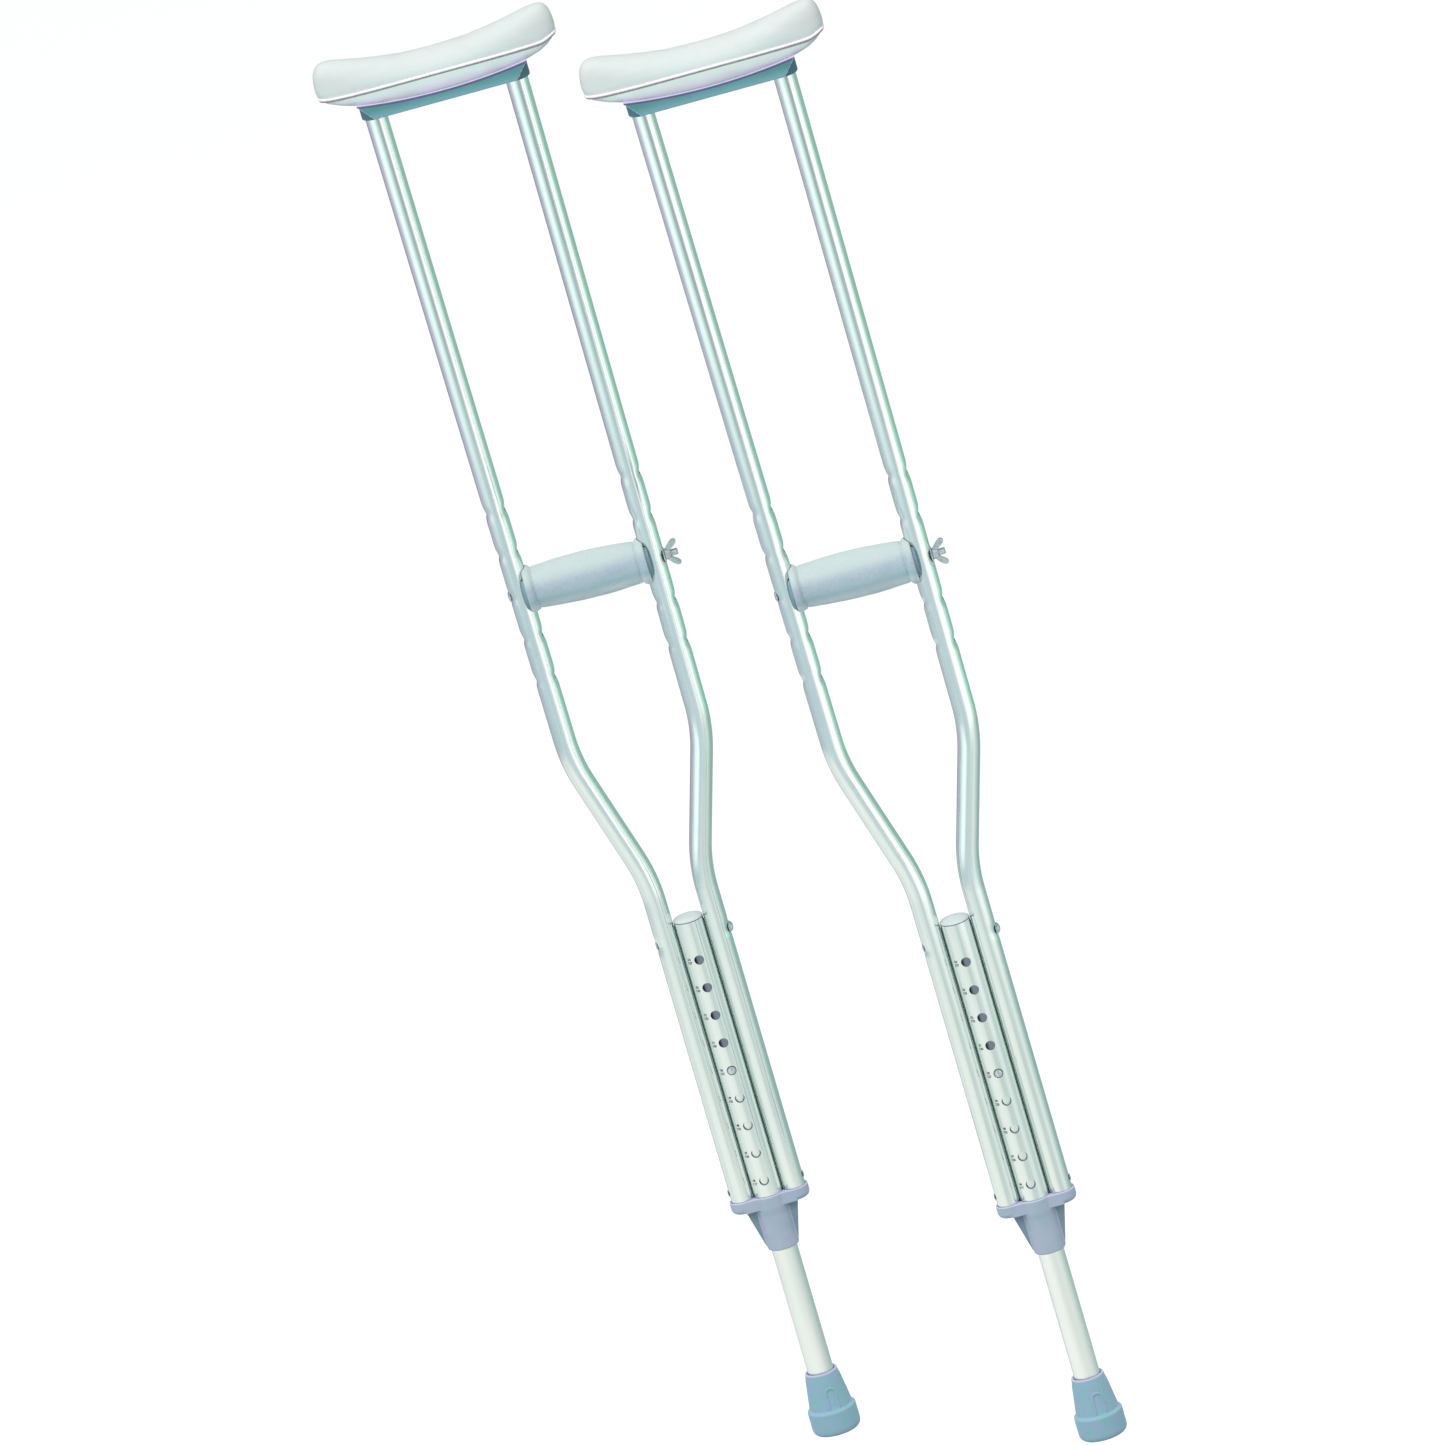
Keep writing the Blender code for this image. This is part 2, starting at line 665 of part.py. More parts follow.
def pad_cage(prefix):
    """The cage of the padded rest: a box cut into strips along its length and shaped like a boat."""
    shape = bmesh.new()
    bmesh.ops.create_cube(shape, size=2)
    for axis, cuts in ((0, 7), (1, 1), (2, 1)):
        along = [e for e in shape.edges if abs((e.verts[0].co - e.verts[1].co).normalized()[axis]) > 0.9]
        bmesh.ops.subdivide_edges(shape, edges=along, cuts=cuts, use_grid_fill=True)
    for vertex in shape.verts:
        along, across, up = vertex.co
        end = abs(along) ** 2
        half_depth = PAD_HALF_DEPTH * (1.06 - 0.14 * end**2)
        top = SADDLE_TOP + 32.0 + 19.0 * end - 6.0 * end**3
        bottom = SADDLE_TOP - 3.0 + 6.0 * end + 15.0 * end**3
        vertex.co = (
            along * PAD_CAGE_HALF_LENGTH * MM,
            across * half_depth * (1.0 if up > -0.5 else 0.86) * MM,
            (bottom + (top - bottom) * (up + 1) / 2) * MM,
        )
    mesh = bpy.data.meshes.new(prefix + "underarm_pad")
    shape.to_mesh(mesh)
    shape.free()
    return mesh


def main():
    clear_scene()
    materials = make_materials()
    parts = make_collection("underarm_crutches")
    cutters = make_collection("cutters")
    for prefix, place in CRUTCHES.items():
        crutch = Crutch(prefix, place, parts, cutters, materials)
        side_tubes(crutch)
        centre_tube(crutch)
        top_bolt(crutch)
        yoke(crutch)
        leg(crutch)
        push_button(crutch)
        handgrip(crutch)
        grip_bolt(crutch)
        pad_and_saddle(crutch)


main()
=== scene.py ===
"""Looks for a pair of push-button underarm crutches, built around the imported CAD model.

Each crutch is made by the same functions in its own millimetres: X across it, Y from front to
back, Z up, with the middle of its rubber tip's foot at the origin.
"""

import math

import bmesh
import bpy
from mathutils import Matrix, Vector, noise
from mathutils.bvhtree import BVHTree

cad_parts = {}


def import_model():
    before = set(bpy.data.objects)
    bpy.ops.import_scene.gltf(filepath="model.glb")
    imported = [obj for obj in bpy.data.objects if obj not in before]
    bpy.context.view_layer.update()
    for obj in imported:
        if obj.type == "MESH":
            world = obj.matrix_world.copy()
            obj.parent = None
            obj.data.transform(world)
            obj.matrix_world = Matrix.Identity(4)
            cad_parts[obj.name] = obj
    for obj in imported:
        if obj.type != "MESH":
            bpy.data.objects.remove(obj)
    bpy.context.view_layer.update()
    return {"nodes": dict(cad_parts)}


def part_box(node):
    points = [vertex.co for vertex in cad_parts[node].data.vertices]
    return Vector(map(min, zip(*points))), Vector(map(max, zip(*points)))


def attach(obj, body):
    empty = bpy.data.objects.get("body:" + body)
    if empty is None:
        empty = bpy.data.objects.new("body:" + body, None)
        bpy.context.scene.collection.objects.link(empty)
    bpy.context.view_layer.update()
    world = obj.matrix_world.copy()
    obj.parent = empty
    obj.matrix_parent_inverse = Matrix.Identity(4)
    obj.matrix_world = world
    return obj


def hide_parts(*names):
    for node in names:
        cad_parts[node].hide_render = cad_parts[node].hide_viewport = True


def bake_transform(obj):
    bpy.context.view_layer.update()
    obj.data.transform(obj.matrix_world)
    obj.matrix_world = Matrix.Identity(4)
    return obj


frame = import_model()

MM = 0.001
NODES = frame["nodes"]
PREFIXES = ("a_", "b_")
SIDES = (("left", -1), ("right", 1))


def heights_of(name):
    """A node's lowest and highest point in millimetres, the same on both crutches."""
    low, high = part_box("a_" + name)
    return low.z / MM, high.z / MM


# Tubes
SIDE_RADIUS = 9.525
CENTRE_RADIUS = 12.7
LEG_RADIUS = 11.1125
WALL = 1.25
SIDE_BOTTOM, SIDE_TOP = heights_of("side_tube_left")
CENTRE_BOTTOM, CENTRE_TOP = heights_of("centre_tube")
LEG_BOTTOM, LEG_TOP = heights_of("leg_tube")
LOWER_BEND_Z = 513.0
UPPER_BEND_Z = 630.0
SIDE_X_LOW = 22.55
SIDE_X_BEND = 56.7
SIDE_X_TOP = 60.6
BEND_RADIUS = 150.0
SIDE_X_OUTSIDE = SIDE_X_LOW + SIDE_RADIUS
FURROW_X = (CENTRE_RADIUS + SIDE_X_LOW - SIDE_RADIUS) / 2

# Holes and what goes through them
BUTTON_Z = LEG_TOP - 13.0
HOLE_PITCH = 25.4
BUTTON_HOLE_RADIUS = 4.1
HOLE_STEPS = range(-4, 5)
LEG_TRAVEL = 4 * HOLE_PITCH
GRIP_Z = sum(heights_of("grip_core")) / 2
GRIP_PITCH = 38.1
GRIP_STEPS = range(-2, 3)
GRIP_HOLE_RADIUS = 3.5
TOP_BOLT_Z = sum(heights_of("top_nut")) / 2
TOP_BOLT_HOLE_RADIUS = 2.8
YOKE_SCREW_Z = sum(heights_of("yoke_screw_left")) / 2
YOKE_SCREW_HOLE_RADIUS = 2.4
DIMPLE_DEPTH = 1.2
DIMPLE_REACH = 4.8
SEAT_DEPTH = DIMPLE_DEPTH - 0.2

# Yoke, tip, saddle and pad
COLLAR_BOTTOM, FLANGE_TOP = heights_of("yoke")[0], 218.6
FLANGE_BOTTOM = FLANGE_TOP - 11.1
COLLAR_RADIUS = 14.7
RIB_HALF_DEPTH = 4.5
TIP_TOP = heights_of("tip")[1]
FOOT_HEIGHT = 20.8
SADDLE_HALF_LENGTH = 72.7
SADDLE_HALF_DEPTH = 17.0
SADDLE_WALL = 2.7
SADDLE_TOP = heights_of("pad_saddle")[1] - 5.5
SADDLE_BOTTOM = SADDLE_TOP - 8.0
SOCKET_BOTTOM = heights_of("pad_saddle")[0]
SADDLE_RISE = 5.5
SEAM_Z = SADDLE_TOP + 18.6
PAD_HALF_LENGTH = 105.2
PAD_HALF_DEPTH = 21.8


# Meshes

def crutch_matrix(prefix):
    """From a crutch's millimetres to the frame's metres."""
    low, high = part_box(prefix + "leg_tube")
    return Matrix.Translation(((low.x + high.x) / 2, (low.y + high.y) / 2, 0)) @ Matrix.Scale(MM, 4)


def new_object(name, data):
    """An object of its own in the scene."""
    obj = bpy.data.objects.new(name, data)
    bpy.context.scene.collection.objects.link(obj)
    return obj


def solid(points, faces):
    """A bare object from points in millimetres, with its faces turned outwards."""
    mesh = bpy.data.meshes.new("solid")
    mesh.from_pydata([tuple(point) for point in points], [], faces)
    shape = bmesh.new()
    shape.from_mesh(mesh)
    bmesh.ops.recalc_face_normals(shape, faces=shape.faces)
    shape.to_mesh(mesh)
    shape.free()
    return new_object("solid", mesh)


def lofted(rings, closed=False):
    """A solid from rings of points: capped at both ends, or joined end to end when closed."""
    count = len(rings[0])
    points = [point for ring in rings for point in ring]
    faces = []
    spans = len(rings) if closed else len(rings) - 1
    for i in range(spans):
        here, there = i * count, (i + 1) % len(rings) * count
        for k in range(count):
            after = (k + 1) % count
            faces.append((here + k, here + after, there + after, there + k))
    if not closed:
        faces.append(tuple(range(count)))
        faces.append(tuple((len(rings) - 1) * count + k for k in range(count)))
    return solid(points, faces)


TURNS_TO = {
    "+Z": Matrix.Identity(4),
    "+X": Matrix.Rotation(math.radians(90), 4, "Y"),
    "-X": Matrix.Rotation(math.radians(-90), 4, "Y"),
    "-Y": Matrix.Rotation(math.radians(90), 4, "X"),
}


def turned(profile, at=(0, 0, 0), axis="+Z", steps=64, shift=None):
    """A turned solid. Its profile of (radius, height) closes on itself where it is off the axis.

    shift(angle, height) is added to each radius."""
    place = Matrix.Translation(at) @ TURNS_TO[axis]
    points, rings = [], []
    for radius, height in profile:
        if radius == 0:
            rings.append([len(points)] * steps)
            points.append(place @ Vector((0, 0, height)))
            continue
        rings.append(list(range(len(points), len(points) + steps)))
        for k in range(steps):
            angle = 2 * math.pi * k / steps
            r = radius + (shift(angle, height) if shift else 0)
            points.append(place @ Vector((r * math.cos(angle), r * math.sin(angle), height)))
    if profile[0][0] > 0:
        rings.append(rings[0])
    faces = []
    for here, there in zip(rings, rings[1:]):
        for k in range(steps):
            after = (k + 1) % steps
            corners = dict.fromkeys((here[k], here[after], there[after], there[k]))
            if len(corners) > 2:
                faces.append(tuple(corners))
    return solid(points, faces)


def rounded(profile, radius, steps=4, keep=()):
    """A profile with its inner corners rounded, except at the places in keep."""
    points = [Vector(profile[0])]
    for i in range(1, len(profile) - 1):
        before, corner, after = (Vector(profile[j]) for j in (i - 1, i, i + 1))
        cut = min(radius, (corner - before).length * 0.45, (after - corner).length * 0.45)
        if i in keep:
            points.append(corner)
            continue
        start = corner + (before - corner).normalized() * cut
        end = corner + (after - corner).normalized() * cut
        for step in range(steps + 1):
            t = step / steps
            points.append((1 - t) ** 2 * start + 2 * t * (1 - t) * corner + t * t * end)
    points.append(Vector(profile[-1]))
    return [tuple(point) for point in points]


def stepped(profile, longest):
    """A profile with extra points, so that none of its steps is much longer than longest in height."""
    points = []
    for start, end in zip(profile, profile[1:]):
        parts = max(1, int(abs(start[1] - end[1]) / longest))
        for k in range(parts):
            way = k / parts
            points.append((start[0] + (end[0] - start[0]) * way, start[1] + (end[1] - start[1]) * way))
    return [*points, profile[-1]]


def prism(outline, half_thickness, across="Y"):
    """An outline of (x, z) points, or (y, z) points across X, made half_thickness thick each way."""
    rings = []
    for side in (-half_thickness, half_thickness):
        if across == "Y":
            rings.append([(x, side, z) for x, z in outline])
        else:
            rings.append([(side, y, z) for y, z in outline])
    return lofted(rings)


def rod(middle, axis, radius, length, steps=48):
    """A round rod about a point."""
    ends = [(0, length / 2), (radius, length / 2), (radius, -length / 2), (0, -length / 2)]
    return turned(ends, middle, axis, steps)


def evaluated_mesh(obj):
    bpy.context.view_layer.update()
    graph = bpy.context.evaluated_depsgraph_get()
    return bpy.data.meshes.new_from_object(obj.evaluated_get(graph))


def bake(obj):
    """Applies an object's modifiers."""
    mesh = evaluated_mesh(obj)
    obj.modifiers.clear()
    obj.data = mesh
    return obj


def combined(obj, others, operation):
    """obj with others added to it or cut from it, one after another."""
    for other in others:
        boolean = obj.modifiers.new(operation, "BOOLEAN")
        boolean.operation = operation
        boolean.solver = "EXACT"
        boolean.object = other
    bake(obj)
    for other in others:
        bpy.data.objects.remove(other, do_unlink=True)
    return welded(obj, gap=0.0005)


def welded(obj, gap):
    """The object with points closer than gap merged and slivers without area removed."""
    shape = bmesh.new()
    shape.from_mesh(obj.data)
    bmesh.ops.remove_doubles(shape, verts=shape.verts, dist=gap)
    bmesh.ops.dissolve_degenerate(shape, edges=shape.edges, dist=gap)
    shape.to_mesh(obj.data)
    shape.free()
    return obj


def joined(objects):
    """Separate solids in one object."""
    shape = bmesh.new()
    for obj in objects:
        shape.from_mesh(obj.data)
    shape.to_mesh(objects[0].data)
    shape.free()
    for obj in objects[1:]:
        bpy.data.objects.remove(obj, do_unlink=True)
    return objects[0]


def moulded(obj, voxel, smoothing, keep=1.0):
    """The same solid with its edges rounded as a moulding's are."""
    remesh = obj.modifiers.new("remesh", "REMESH")
    remesh.mode = "VOXEL"
    remesh.voxel_size = voxel
    smooth = obj.modifiers.new("smooth", "SMOOTH")
    smooth.factor = 0.5
    smooth.iterations = smoothing
    if keep < 1:
        thin = obj.modifiers.new("thin", "DECIMATE")
        thin.ratio = keep
    return bake(obj)


# Shapes that several pieces share

def smoothstep(low, high, value):
    t = max(0.0, min(1.0, (value - low) / (high - low)))
    return t * t * (3 - 2 * t)


def saddle_top(x):
    return SADDLE_TOP + SADDLE_RISE * (x / SADDLE_HALF_LENGTH) ** 2


def side_corners():
    return [
        (SIDE_X_LOW, SIDE_BOTTOM), (SIDE_X_LOW, LOWER_BEND_Z), (SIDE_X_BEND, UPPER_BEND_Z),
        (SIDE_X_TOP, SIDE_TOP),
    ]


def side_x(height):
    corners = side_corners()
    for (x0, z0), (x1, z1) in zip(corners, corners[1:]):
        if height <= z1:
            return x0 + (x1 - x0) * (height - z0) / (z1 - z0)
    return corners[-1][0]


def bent_route(corners, radius, steps):
    """The corners' route with each inner corner replaced by an arc of that radius."""
    route = [Vector(corners[0])]
    for before, corner, after in zip(corners, corners[1:], corners[2:]):
        corner = Vector(corner)
        arrive = (corner - Vector(before)).normalized()
        leave = (Vector(after) - corner).normalized()
        half = arrive.angle(leave) / 2
        inward = (leave - arrive).normalized()
        centre = corner + inward * radius / math.cos(half)
        start = corner - arrive * radius * math.tan(half) - centre
        sign = 1 if arrive.cross(leave) > 0 else -1
        for step in range(steps + 1):
            turn = Matrix.Rotation(sign * 2 * half * step / steps, 2)
            route.append(centre + turn @ start)
    route.append(Vector(corners[-1]))
    return route


def add_heights(route, heights):
    """The route with extra points where it passes the given heights on its straight stretches."""
    out = [route[0]]
    for a, b in zip(route, route[1:]):
        for z in sorted(h for h in heights if a[1] + 0.2 < h < b[1] - 0.2):
            out.append(a.lerp(b, (z - a[1]) / (b[1] - a[1])))
        out.append(b)
    return out


# Materials

def linear(red, green, blue):
    """A colour given as 0 to 255 on a screen."""
    return tuple(((c / 255 + 0.055) / 1.055) ** 2.4 if c > 10 else c / 3294 for c in (red, green, blue))


class Nodes:
    """A node tree with short ways to add to it."""

    def __init__(self, tree):
        self.tree = tree

    def node(self, kind, **settings):
        node = self.tree.nodes.new("ShaderNode" + kind)
        for name, value in settings.items():
            setattr(node, name, value)
        return node

    def link(self, source, target):
        self.tree.links.new(source, target)

    def fill(self, socket, value):
        """Gives an input a number or a colour, or links another node's output to it."""
        if isinstance(value, bpy.types.NodeSocket):
            self.link(value, socket)
        elif isinstance(value, tuple):
            socket.default_value = (*value, 1)
        else:
            socket.default_value = value

    def compute(self, operation, *values):
        node = self.node("Math", operation=operation)
        for socket, value in zip(node.inputs, values):
            self.fill(socket, value)
        return node.outputs[0]

    def split(self, vector):
        """A vector's X, Y and Z."""
        node = self.node("SeparateXYZ")
        self.link(vector, node.inputs[0])
        return node.outputs

    def spread(self, value, low, high, least=0.0, most=1.0, ease=False):
        """least where value is low and most where it is high, and between them from one to the other."""
        node = self.node("MapRange", interpolation_type="SMOOTHSTEP" if ease else "LINEAR")
        settings = {"Value": value, "From Min": low, "From Max": high, "To Min": least, "To Max": most}
        for name, setting in settings.items():
            self.fill(node.inputs[name], setting)
        return node.outputs["Result"]

    def mix_colours(self, factor, a, b):
        node = self.node("Mix", data_type="RGBA")
        for name, setting in (("Factor", factor), ("A", a), ("B", b)):
            self.fill(node.inputs[name], setting)
        return node.outputs["Result"]

    def mix_shaders(self, factor, a, b):
        node = self.node("MixShader")
        for socket, setting in zip(node.inputs, (factor, a, b)):
            self.fill(socket, setting)
        return node.outputs[0]

    def glowing(self, kind, colour, strength=1.0):
        """A Background or Emission shader."""
        node = self.node(kind)
        self.fill(node.inputs["Color"], colour)
        node.inputs["Strength"].default_value = strength
        return node.outputs[0]


MATERIALS = {}


class Surface(Nodes):
    """A procedural material: a colour that varies a little, a grain in its bump, and its gloss.

    Sizes, depths and heights are in millimetres."""

    def __init__(self, name, colour, roughness, metallic=0.0):
        self.material = MATERIALS[name] = bpy.data.materials.new(name)
        self.material.use_nodes = True
        super().__init__(self.material.node_tree)
        self.shader = self.tree.nodes["Principled BSDF"]
        self.place = self.node("TexCoord").outputs["Object"]
        self.normal = None
        self.set(Base_Color=linear(*colour), Roughness=roughness, Metallic=metallic)

    def set(self, **values):
        for name, value in values.items():
            self.fill(self.shader.inputs[name.replace("_", " ")], value)

    def scaled(self, size, stretch=(1, 1, 1)):
        """The object's coordinates in units of size, drawn out by stretch along each axis."""
        mapping = self.node("Mapping")
        mapping.inputs["Scale"].default_value = [1 / (size * MM * s) for s in stretch]
        self.link(self.place, mapping.inputs["Vector"])
        return mapping.outputs["Vector"]

    def noise(self, size, detail=3, stretch=(1, 1, 1), distortion=0.0):
        texture = self.node("TexNoise")
        self.link(self.scaled(size, stretch), texture.inputs["Vector"])
        for name, value in (("Scale", 1), ("Detail", detail), ("Distortion", distortion)):
            texture.inputs[name].default_value = value
        return texture.outputs["Fac"]

    def cells(self, size):
        texture = self.node("TexVoronoi", feature="F1")
        self.link(self.scaled(size), texture.inputs["Vector"])
        texture.inputs["Scale"].default_value = 1
        return texture.outputs["Distance"]

    def vary_colour(self, value, other, low=0.35, high=0.65, amount=1.0):
        """Blends towards another colour where value is high."""
        base = self.shader.inputs["Base Color"]
        before = base.links[0].from_socket if base.is_linked else tuple(base.default_value[:3])
        self.link(self.mix_colours(self.spread(value, low, high, 0, amount), before, linear(*other)), base)

    def band(self, low, high, colour, amount=1.0):
        """Blends to another colour between two heights above the foot, and keeps that one above them."""
        height = self.split(self.place)["Z"]
        self.vary_colour(self.spread(height, low * MM, high * MM, ease=True), colour, 0, 1, amount)

    def vary_roughness(self, value, low, high):
        self.link(self.spread(value, 0.3, 0.7, low, high), self.shader.inputs["Roughness"])

    def glow_facing_front(self, colour, low, high, least, most):
        """Emission that is strongest where the surface faces straight to the front or back."""
        normal = self.split(self.node("NewGeometry").outputs["Normal"])
        facing = self.compute("ABSOLUTE", normal["Y"])
        self.set(Emission_Color=colour, Emission_Strength=self.spread(facing, low, high, least, most))

    def bump(self, value, depth, strength=0.6):
        bump = self.node("Bump")
        settings = {"Height": value, "Distance": depth * MM, "Strength": strength}
        if self.normal:
            settings["Normal"] = self.normal
        for name, setting in settings.items():
            self.fill(bump.inputs[name], setting)
        self.normal = bump.outputs["Normal"]
        self.link(self.normal, self.shader.inputs["Normal"])


# The finest relief of a surface: the size and detail of its noise, its depth, and its strength.
MOULDED_GRAIN = (0.45, 2, 0.02, 0.6)
SEWN_GRAIN = (0.5, 3, 0.03, 0.6)


def mottled(name, colour, other, roughness, patch, detail=3, amount=0.8, stretch=1, grain=MOULDED_GRAIN):
    """A surface of one colour with patches of another, drawn out upwards by stretch, and a grain."""
    surface = Surface(name, colour, roughness)
    surface.vary_colour(surface.noise(patch, detail, (1, 1, stretch)), other, amount=amount)
    if grain:
        size, grain_detail, depth, strength = grain
        surface.bump(surface.noise(size, grain_detail), depth, strength)
    return surface


def metal(name, colour, other, roughness, patch, streak, brushed):
    """A drawn metal. patch and streak are the size and upward stretch of its patches and of its
    streaks of gloss, and brushed is the stretch of its finest relief."""
    surface = Surface(name, colour, sum(roughness) / 2, 1.0)
    surface.vary_colour(surface.noise(patch[0], 2, (1, 1, patch[1])), other, amount=0.7)
    surface.vary_roughness(surface.noise(streak[0], 4, (1, 1, streak[1])), *roughness)
    surface.bump(surface.noise(0.35, 3, (1, 1, brushed)), 0.002, 0.4)


def soft_materials():
    vinyl = Surface("vinyl_cover", (226, 228, 240), 0.48)
    # Painted light and shade by height on the cover: lavender-grey on the belly, pale green just under the
    # seam, and greyer towards the top.
    vinyl.band(SEAM_Z - 8, SEAM_Z - 3.5, (198, 230, 211))
    vinyl.band(SEAM_Z - 3, SEAM_Z - 1.5, (206, 218, 214))
    vinyl.band(SEAM_Z + 3, SEAM_Z + 15, (202, 207, 205))
    vinyl.vary_colour(vinyl.noise(30, 2), (199, 212, 210), amount=0.4)
    vinyl.vary_colour(vinyl.noise(9), (212, 217, 213), amount=0.25)
    vinyl.vary_roughness(vinyl.noise(12), 0.42, 0.56)
    vinyl.bump(vinyl.cells(1.3), 0.05, 0.5)
    vinyl.bump(vinyl.noise(0.7), 0.03, 0.5)
    mottled("piping", (248, 240, 245), (236, 222, 232), 0.4, 5, 2, 0.6, grain=(0.5, 3, 0.02, 0.5))
    # The seam's mauve is partly its thread and partly painted shadow under the piping.
    mottled("seam", (146, 128, 150), (172, 156, 172), 0.6, 2.5, 2, 0.6, grain=(0.4, 3, 0.03, 0.6))
    # The dark purple layer under the rest is painted contact shadow.
    mottled("dark_gasket", (120, 92, 160), (104, 100, 150), 0.6, 6, grain=SEWN_GRAIN)
    mottled("welt", (222, 206, 238), (206, 204, 226), 0.5, 6, grain=SEWN_GRAIN)

    foam = Surface("closed_cell_foam", (236, 252, 252), 0.82)
    # Painted shade by height round the grip: palest underneath as painted bounce light, a dark bluish
    # core-shadow band about the middle, and lighter again above.
    foam.band(GRIP_Z - 13, GRIP_Z - 4, (160, 193, 202))
    foam.band(GRIP_Z - 3, GRIP_Z + 4, (164, 181, 196))
    foam.band(GRIP_Z + 5, GRIP_Z + 15, (190, 203, 202))
    foam.vary_colour(foam.noise(16), (174, 196, 202), amount=0.3)
    foam.vary_colour(foam.noise(2.2, 4), (201, 214, 212), amount=0.3)
    foam.bump(foam.cells(0.9), 0.06)
    foam.bump(foam.noise(0.5, 2), 0.05, 0.5)
    foam.set(Sheen_Weight=0.15, Sheen_Roughness=0.5)

    rubber = Surface("moulded_rubber", (144, 182, 200), 0.68)
    rubber.vary_colour(rubber.noise(8, 4, distortion=0.8), (130, 188, 188), 0.42, 0.6, 0.9)
    rubber.vary_colour(rubber.noise(3.2, distortion=0.5), (158, 175, 208), 0.45, 0.62, 0.7)
    # Painted highlight: a pale lilac band round the top rim.
    rubber.band(TIP_TOP - 3.2, TIP_TOP - 2.0, (204, 198, 226), 0.75)
    rubber.vary_roughness(rubber.noise(4), 0.6, 0.78)
    rubber.bump(rubber.noise(0.7), 0.04)
    rubber.set(Sheen_Weight=0.25, Sheen_Roughness=0.4)


def moulding_materials():
    teal = Surface("teal_moulding", (120, 168, 182), 0.42)
    # Painted shade: darker and greener towards the top, under the overhanging rest.
    teal.band(SADDLE_BOTTOM - 1, SADDLE_TOP + 2, (78, 138, 138))
    teal.vary_colour(teal.noise(18), (106, 164, 168), amount=0.35)
    teal.vary_roughness(teal.noise(6), 0.36, 0.5)
    teal.bump(teal.noise(0.45, 2), 0.02)
    blue_grey = mottled("blue_grey_moulding", (164, 186, 201), (182, 188, 208), 0.45, 15)
    blue_grey.vary_roughness(blue_grey.noise(5), 0.4, 0.52)
    # A darker copy of the teal: painted shade on the sockets past the slanted cut.
    mottled("teal_socket", (72, 112, 134), (74, 122, 124), 0.5, 9)
    # A pale copy of the mouldings: painted highlight along edges that catch the light.
    mottled("worn_edge", (196, 208, 226), (208, 190, 222), 0.4, 5)
    mottled("shaded_moulding", (130, 152, 170), (118, 146, 158), 0.5, 10)
    # A darker copy of the blue-grey: painted shade on the grip's end pieces, between the foam and the tubes.
    mottled("dark_blue_grey_moulding", (128, 156, 170), (118, 152, 160), 0.45, 8)
    mottled("pale_moulding", (212, 223, 218), (202, 213, 216), 0.4, 9, grain=(0.5, 2, 0.015, 0.6))
    # The dark green of the furrow strips' grooves is painted shadow.
    mottled("dark_strip", (30, 78, 70), (44, 92, 84), 0.7, 3, 3, 0.7, 8, grain=(0.6, 3, 0.03, 0.6))
    mottled("printed_ink", (34, 48, 66), (62, 78, 96), 0.5, 1.2, grain=None)
    board = Surface("plywood", (190, 160, 120), 0.7)
    board.vary_colour(board.noise(3, 4, (12, 1, 1)), (160, 126, 88), amount=0.9)
    board.bump(board.noise(1.0, 3, (8, 1, 1)), 0.05, 0.5)


def metal_materials():
    metal("drawn_aluminium", (243, 248, 246), (236, 244, 241), (0.11, 0.21), (22, 5), (1.2, 60), 120)
    metal("anodised_aluminium", (250, 250, 248), (240, 245, 241), (0.3, 0.4), (18, 6), (1.4, 60), 90)
    # Inside the centre tube: a dark colour that is painted shade in the bore and on the holes' edges, with a
    # glow on the back wall seen through the holes that is painted light.
    bore = Surface("oxidised_bore", (52, 78, 88), 0.6, 0.5)
    bore.vary_colour(bore.noise(4), (70, 90, 104), amount=0.8)
    bore.glow_facing_front((0.62, 0.76, 0.88), low=0.94, high=0.99, least=0.02, most=0.28)
    steel = Surface("zinc_plated_steel", (222, 228, 230), 0.34, 1.0)
    steel.vary_colour(steel.noise(2.5), (186, 190, 202), amount=0.8)
    steel.vary_roughness(steel.noise(1.5), 0.28, 0.42)
    steel.bump(steel.noise(0.5), 0.01, 0.5)


soft_materials()
moulding_materials()
metal_materials()


# Placing


def both(obj, name, body, material, sharp_degrees=35, node=None):
    """Puts a solid on both crutches with its body and material, and returns the two pieces.

    They stand for the CAD nodes of the same name, where there are such, or of the given name."""
    pair = []
    for prefix in PREFIXES:
        mesh = obj.data.copy()
        mesh.name = prefix + name
        mesh.transform(crutch_matrix(prefix))
        mesh.materials.clear()
        mesh.materials.append(MATERIALS[material])
        mesh.shade_smooth()
        mesh.set_sharp_from_angle(angle=math.radians(sharp_degrees))
        piece = new_object(prefix + name, mesh)
        if body:
            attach(piece, prefix + body)
        stands_for = prefix + (node or name)
        if stands_for in NODES:
            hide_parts(stands_for)
        pair.append(piece)
    bpy.data.objects.remove(obj, do_unlink=True)
    return pair


def paint(pieces, material, chosen):
    """Gives another material to the faces for which chosen(centre in mm, normal) is true."""
    for piece in pieces:
        back = crutch_matrix(piece.name[:2]).inverted()
        index = len(piece.data.materials)
        piece.data.materials.append(MATERIALS[material])
        for face in piece.data.polygons:
            if chosen(back @ face.center, face.normal):
                face.material_index = index


def repaint(name, material):
    """Gives a CAD node that stays, on both crutches, its material."""
    for prefix in PREFIXES:
        for material_slot in NODES[prefix + name].material_slots:
            material_slot.material = MATERIALS[material]


# Tubes and their fasteners

